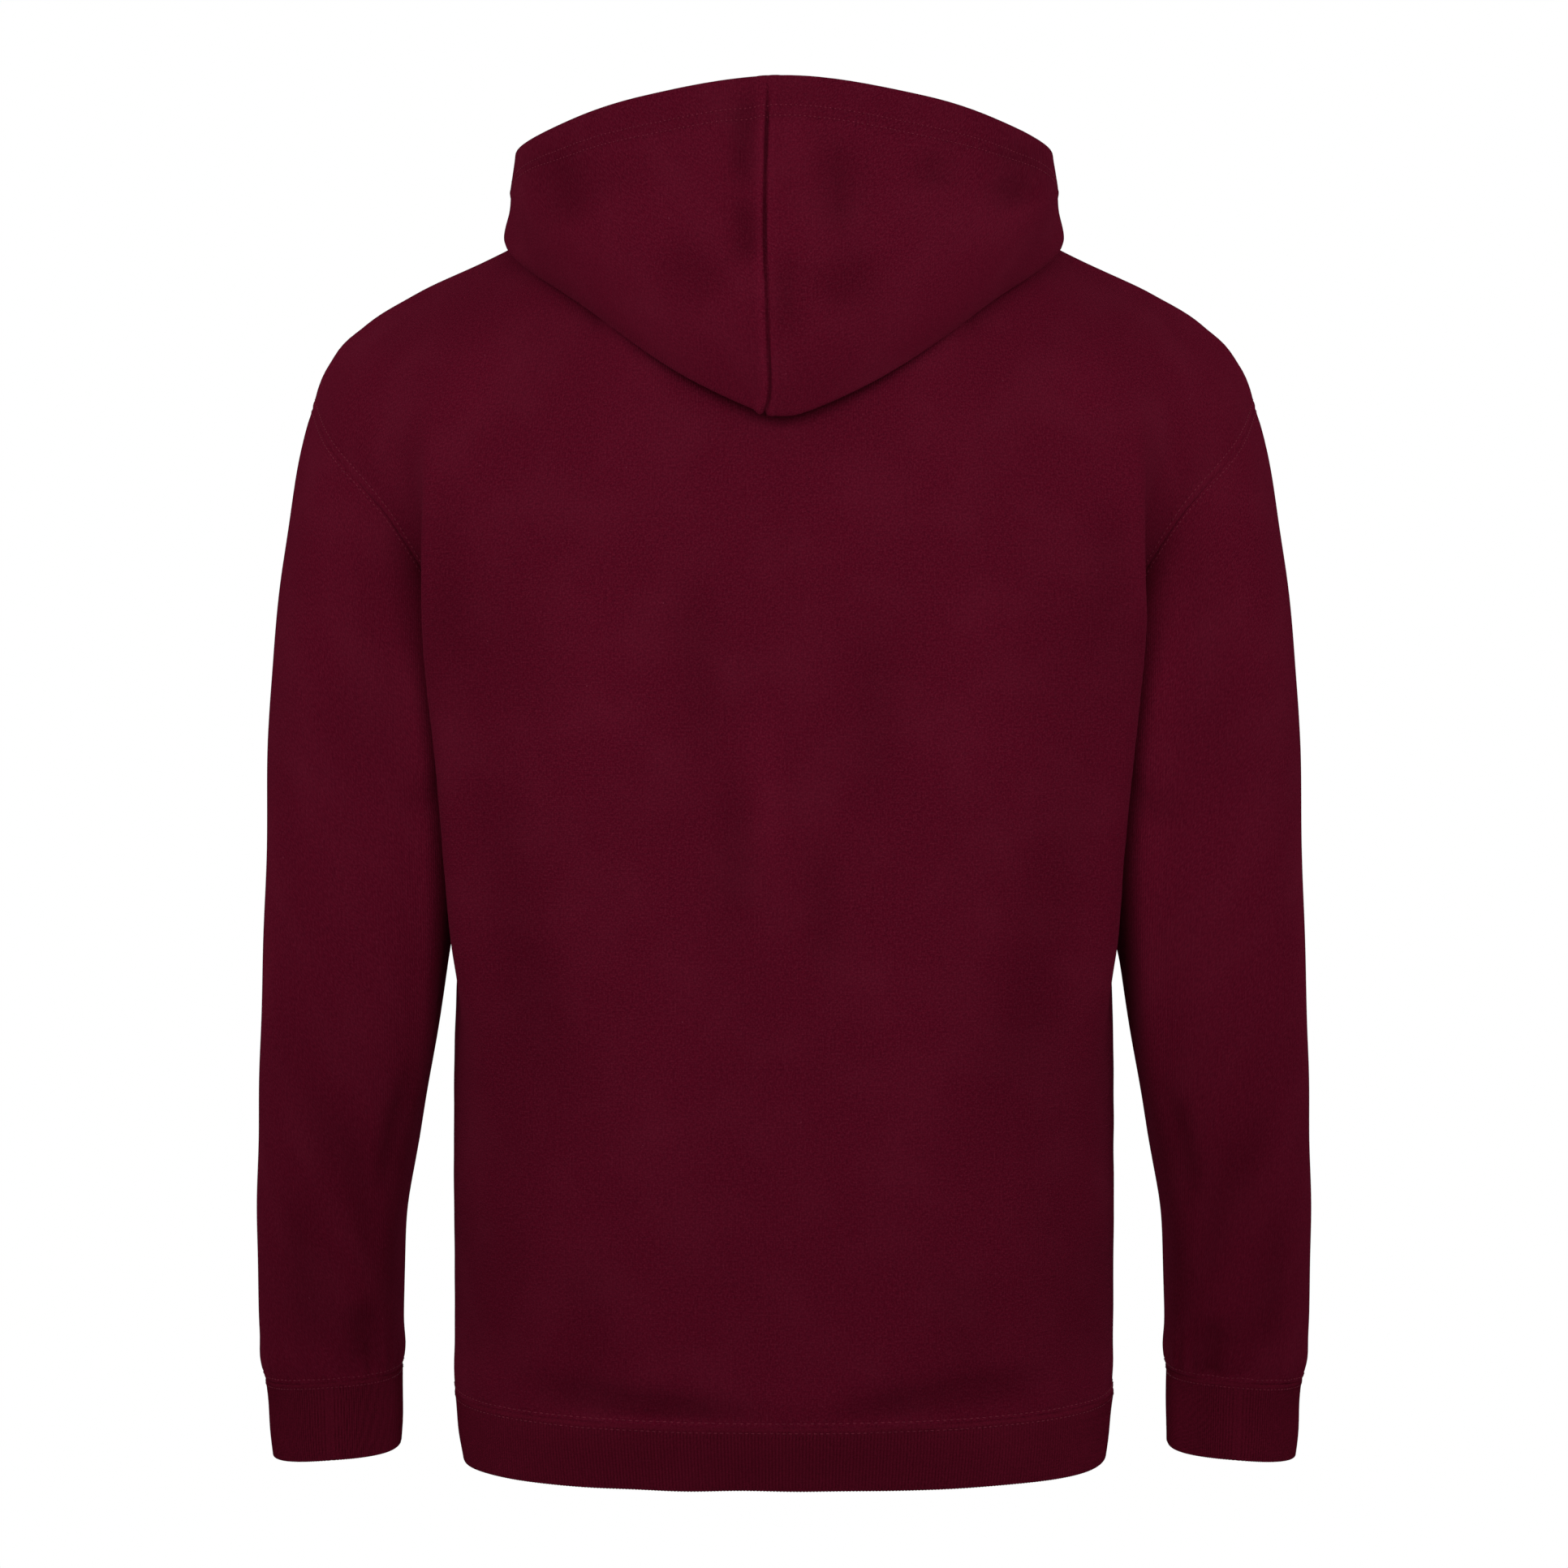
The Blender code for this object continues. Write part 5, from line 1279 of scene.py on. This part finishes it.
def add_stitches(back, fronts, sleeves, hoods, cuffs, hem, thread):
    """Twin needle rows at armholes, hem and cuffs, two rows on the hood's casing and one beside the zip."""
    tree = row_tree("stitch_row", None)
    armhole = slice(LOW_STEPS, None)

    def row(cloth, edge, distance, rows=slice(None)):
        return cloth.line(edge, distance, THREAD_LIFT, rows)

    # The pitch and length of the stitches, and the lines that they run along.
    rows = {}
    for side in SIDES:
        near, far = f"{NEAR[side]}_column", f"{FAR[side]}_column"
        rows[f"armhole_{side}"] = (0.0030, 0.0018, [row(back, near, ARMHOLE_BODY_ROW, armhole),
                                                    row(fronts[side], far, ARMHOLE_BODY_ROW, armhole),
                                                    row(sleeves[side], "first_row", ARMHOLE_SLEEVE_ROW)])
        rows[f"cuff_{side}"] = (0.0029, 0.0017, [row(sleeves[side], "last_row", CUFF_SLEEVE_ROW),
                                                 row(cuffs[side], "first_row", CUFF_RIB_ROW)])
        rows[f"hood_{side}"] = (0.0027, 0.0013, [row(hoods[side], "last_row", at) for at in CASING_ROWS])
        rows[f"zip_{side}"] = (0.0030, 0.0019, [row(fronts[side], near, ZIP_ROW)])
    above_hem = [row(cloth, "first_row", HEM_BODY_ROW) for cloth in (back, *fronts.values())]
    rows["hem"] = (0.0039, 0.0024, [row(hem, "first_row", HEM_RIB_ROW), *above_hem])
    for seed, (name, (pitch, length, lines)) in enumerate(rows.items()):
        add_row(f"stitches_{name}", tree, lines, GARMENT, "fleece", Pitch=pitch, Length=length,
                Radius=THREAD_RADIUS, Unevenness=0.08, Seed=seed, Finish=thread)


def add_zip(front, hem, tape, metal):
    """The zip, closed to the slider: two tapes, the teeth, the slider with its pull, and the box below."""
    line = np.concatenate([hem[::-1, 0][:-1], front[:, 0]]) * [0, 1, 1]
    lengths = lengths_along(line)
    length = lengths[-1]
    tangent = unit(np.gradient(line, axis=0))
    facing = np.stack([0 * tangent[:, 0], -tangent[:, 2], tangent[:, 1]], axis=1)

    def stretch(start, end, across, depth):
        """The line between two lengths along it, moved across and behind the cloth, and its ways out."""
        at = np.linspace(start, end, max(2, round((end - start) / 0.004)))
        points, outs = read_line(line, lengths, at), read_line(facing, lengths, at)
        return points + [across, 0, 0] - outs * depth, outs

    for side, sign in (("left", 1), ("right", -1)):
        places = sorted(sign * x for x in np.linspace(TAPE_INNER, TAPE_OUTER, 9))
        columns = [stretch(0.001, length - 0.001, x, TAPE_DEPTH + TAPE_WAVE * math.cos(TAPE_WAVE_PACE * x))[0]
                   for x in places]
        cloth = Cloth(np.array(columns).transpose(1, 0, 2))
        woven = add_shell(f"zip_tape_{side}_woven", cloth, TAPE_THICKNESS, [tape],
                          bulges={"first": 0.4, "last": 0.4})
        declare(woven, cloth, f"zip_tape_{side}")

    # Teeth: the left and right rows hold each other, half a pitch apart, up to the slider, and part above.
    chain_start, chain_end = BOX_LENGTH + 0.0011, length - SLIDER_FROM_TOP - 0.001
    pitch = (chain_end - chain_start) / round((chain_end - chain_start) / TOOTH_PITCH)
    open_start, open_end = length - SLIDER_FROM_TOP + 0.0072, length - 0.003
    tree = row_tree("teeth_row", tooth_shape(metal))
    left = [stretch(chain_start, chain_end, 0.0, TOOTH_DEPTH),
            stretch(open_start, open_end, TEETH_APART, TOOTH_DEPTH)]
    right = [stretch(chain_start + pitch / 2, chain_end - pitch / 2, 0.0, TOOTH_DEPTH),
             stretch(open_start, open_end, -TEETH_APART, TOOTH_DEPTH)]
    right = [(points[::-1], outs[::-1]) for points, outs in right]
    teeth = add_row("zip_teeth", tree, left + right, GARMENT, "zip_metal",
                    Pitch=pitch, Unevenness=0.0, Finish=metal)
    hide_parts("zip_chain")

    add_casting("zip_slider", GARMENT, 0.0003, metal)
    add_casting("zip_box", GARMENT, 0.0006, metal)
    add_casting("zip_pull", PULL, 0.00035, metal)


def tooth_shape(metal):
    """One tooth: jaws clamped on the tape at one end, a rounded head at the other. It isn't shown itself."""
    mesh = bmesh.new()
    bmesh.ops.create_cube(mesh, size=1.0)
    for vertex in mesh.verts:
        head = vertex.co.y > 0
        vertex.co.x *= 0.0011 if head else 0.0014
        vertex.co.y = 0.0009 if head else -0.0030
        vertex.co.z *= 0.0015 if head else 0.0019
    bmesh.ops.bevel(mesh, geom=mesh.edges[:], offset=0.00025, segments=1, affect="EDGES")
    return bpy.data.objects.new("tooth", finished(mesh, "tooth", metal))


def finished(mesh, name, finish):
    """Ends an edited mesh and gives it one finish."""
    data = bpy.data.meshes.new(name)
    mesh.to_mesh(data)
    mesh.free()
    data.materials.append(finish)
    return data


def add_casting(name, body, soften, metal):
    """A die cast piece: the solid's own shape with its edges rounded."""
    mesh = bmesh.new()
    mesh.from_mesh(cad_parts[name].data)
    bmesh.ops.remove_doubles(mesh, verts=mesh.verts, dist=0.00001)
    bmesh.ops.dissolve_limit(mesh, angle_limit=math.radians(2), verts=mesh.verts, edges=mesh.edges)
    sharp = [e for e in mesh.edges if len(e.link_faces) == 2 and e.calc_face_angle() > math.radians(25)]
    bmesh.ops.bevel(mesh, geom=sharp, offset=soften, segments=2, profile=0.6, affect="EDGES",
                    clamp_overlap=True)
    data = finished(mesh, name + "_cast", metal)
    data.shade_smooth()
    data.set_sharp_from_angle(angle=math.radians(35))
    obj = add_object(name + "_cast", data)
    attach(obj, body)
    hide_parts(name)


# ---- Floor, light and camera ----
def add_studio():
    scene = bpy.context.scene
    scene.view_settings.view_transform = "Standard"
    world = bpy.data.worlds.new("studio")
    world.use_nodes = True
    # The white wall behind is burnt out to the eye, and its light on the cloth is softer.
    tree = world.node_tree
    seen = node(tree, "ShaderNodeLightPath").outputs["Is Camera Ray"]
    strength = node(tree, "ShaderNodeMapRange", {"Value": seen}, To_Min=WALL_LIGHT, To_Max=1.0)
    tree.links.new(strength.outputs[0], tree.nodes["Background"].inputs["Strength"])
    tree.nodes["Background"].inputs["Color"].default_value = (1.0, 1.0, 1.0, 1.0)
    scene.world = world

    bpy.ops.mesh.primitive_circle_add(vertices=96, radius=FLOOR_RADIUS, fill_type="NGON",
                                      location=(0, 0, FLOOR_Z))
    floor = bpy.context.object
    floor.name = "floor"
    paint, _, shader = new_material("pale_floor", 0.9)
    shader.inputs["Base Color"].default_value = linear("F4F4F4")
    floor.data.materials.append(paint)

    for name, place, width, height, power in LIGHTS:
        data = bpy.data.lights.new(name, "AREA")
        data.shape, data.size, data.size_y, data.energy = "RECTANGLE", width, height, power
        lamp = add_object(name, data)
        lamp.visible_camera = False
        aim(lamp, place)

    data = bpy.data.cameras.new("camera")
    data.sensor_fit = "HORIZONTAL"
    data.angle = CAMERA_ANGLE
    scene.camera = add_object("camera", data)
    aim(scene.camera, CAMERA_PLACE)


def aim(obj, place):
    """Sets a lamp or camera at its place, looking at the target."""
    obj.location = place
    direction = Vector(CAMERA_TARGET) - obj.location
    obj.rotation_euler = direction.to_track_quat("-Z", "Y").to_euler()


CAMERA_DISTANCE = 3.0
CAMERA_TARGET = (0.0, 0.0, -0.333)
CAMERA_RISE = math.radians(4.0)
CAMERA_PLACE = (0.0, CAMERA_DISTANCE * math.cos(CAMERA_RISE),
                CAMERA_TARGET[2] + CAMERA_DISTANCE * math.sin(CAMERA_RISE))
FRAME_WIDTH = 0.8984         # width of the view at the target
CAMERA_ANGLE = 2 * math.atan(FRAME_WIDTH / 2 / CAMERA_DISTANCE)
FLOOR_Z = -1.45              # where a wearer would stand
FLOOR_RADIUS = 1.4
WALL_LIGHT = 0.070
# Wide soft boxes: name, place, width, height and power.
LIGHTS = (
    ("behind", (0.0, 1.35, 0.09), 1.2, 0.5, 12.1),
    ("before", (0.0, -1.35, 0.09), 1.2, 0.5, 11.4),
    ("left", (1.6, 0.15, 0.60), 1.0, 1.0, 12.2),
    ("right", (-1.6, 0.15, 0.60), 1.0, 1.0, 11.7),
)

main()
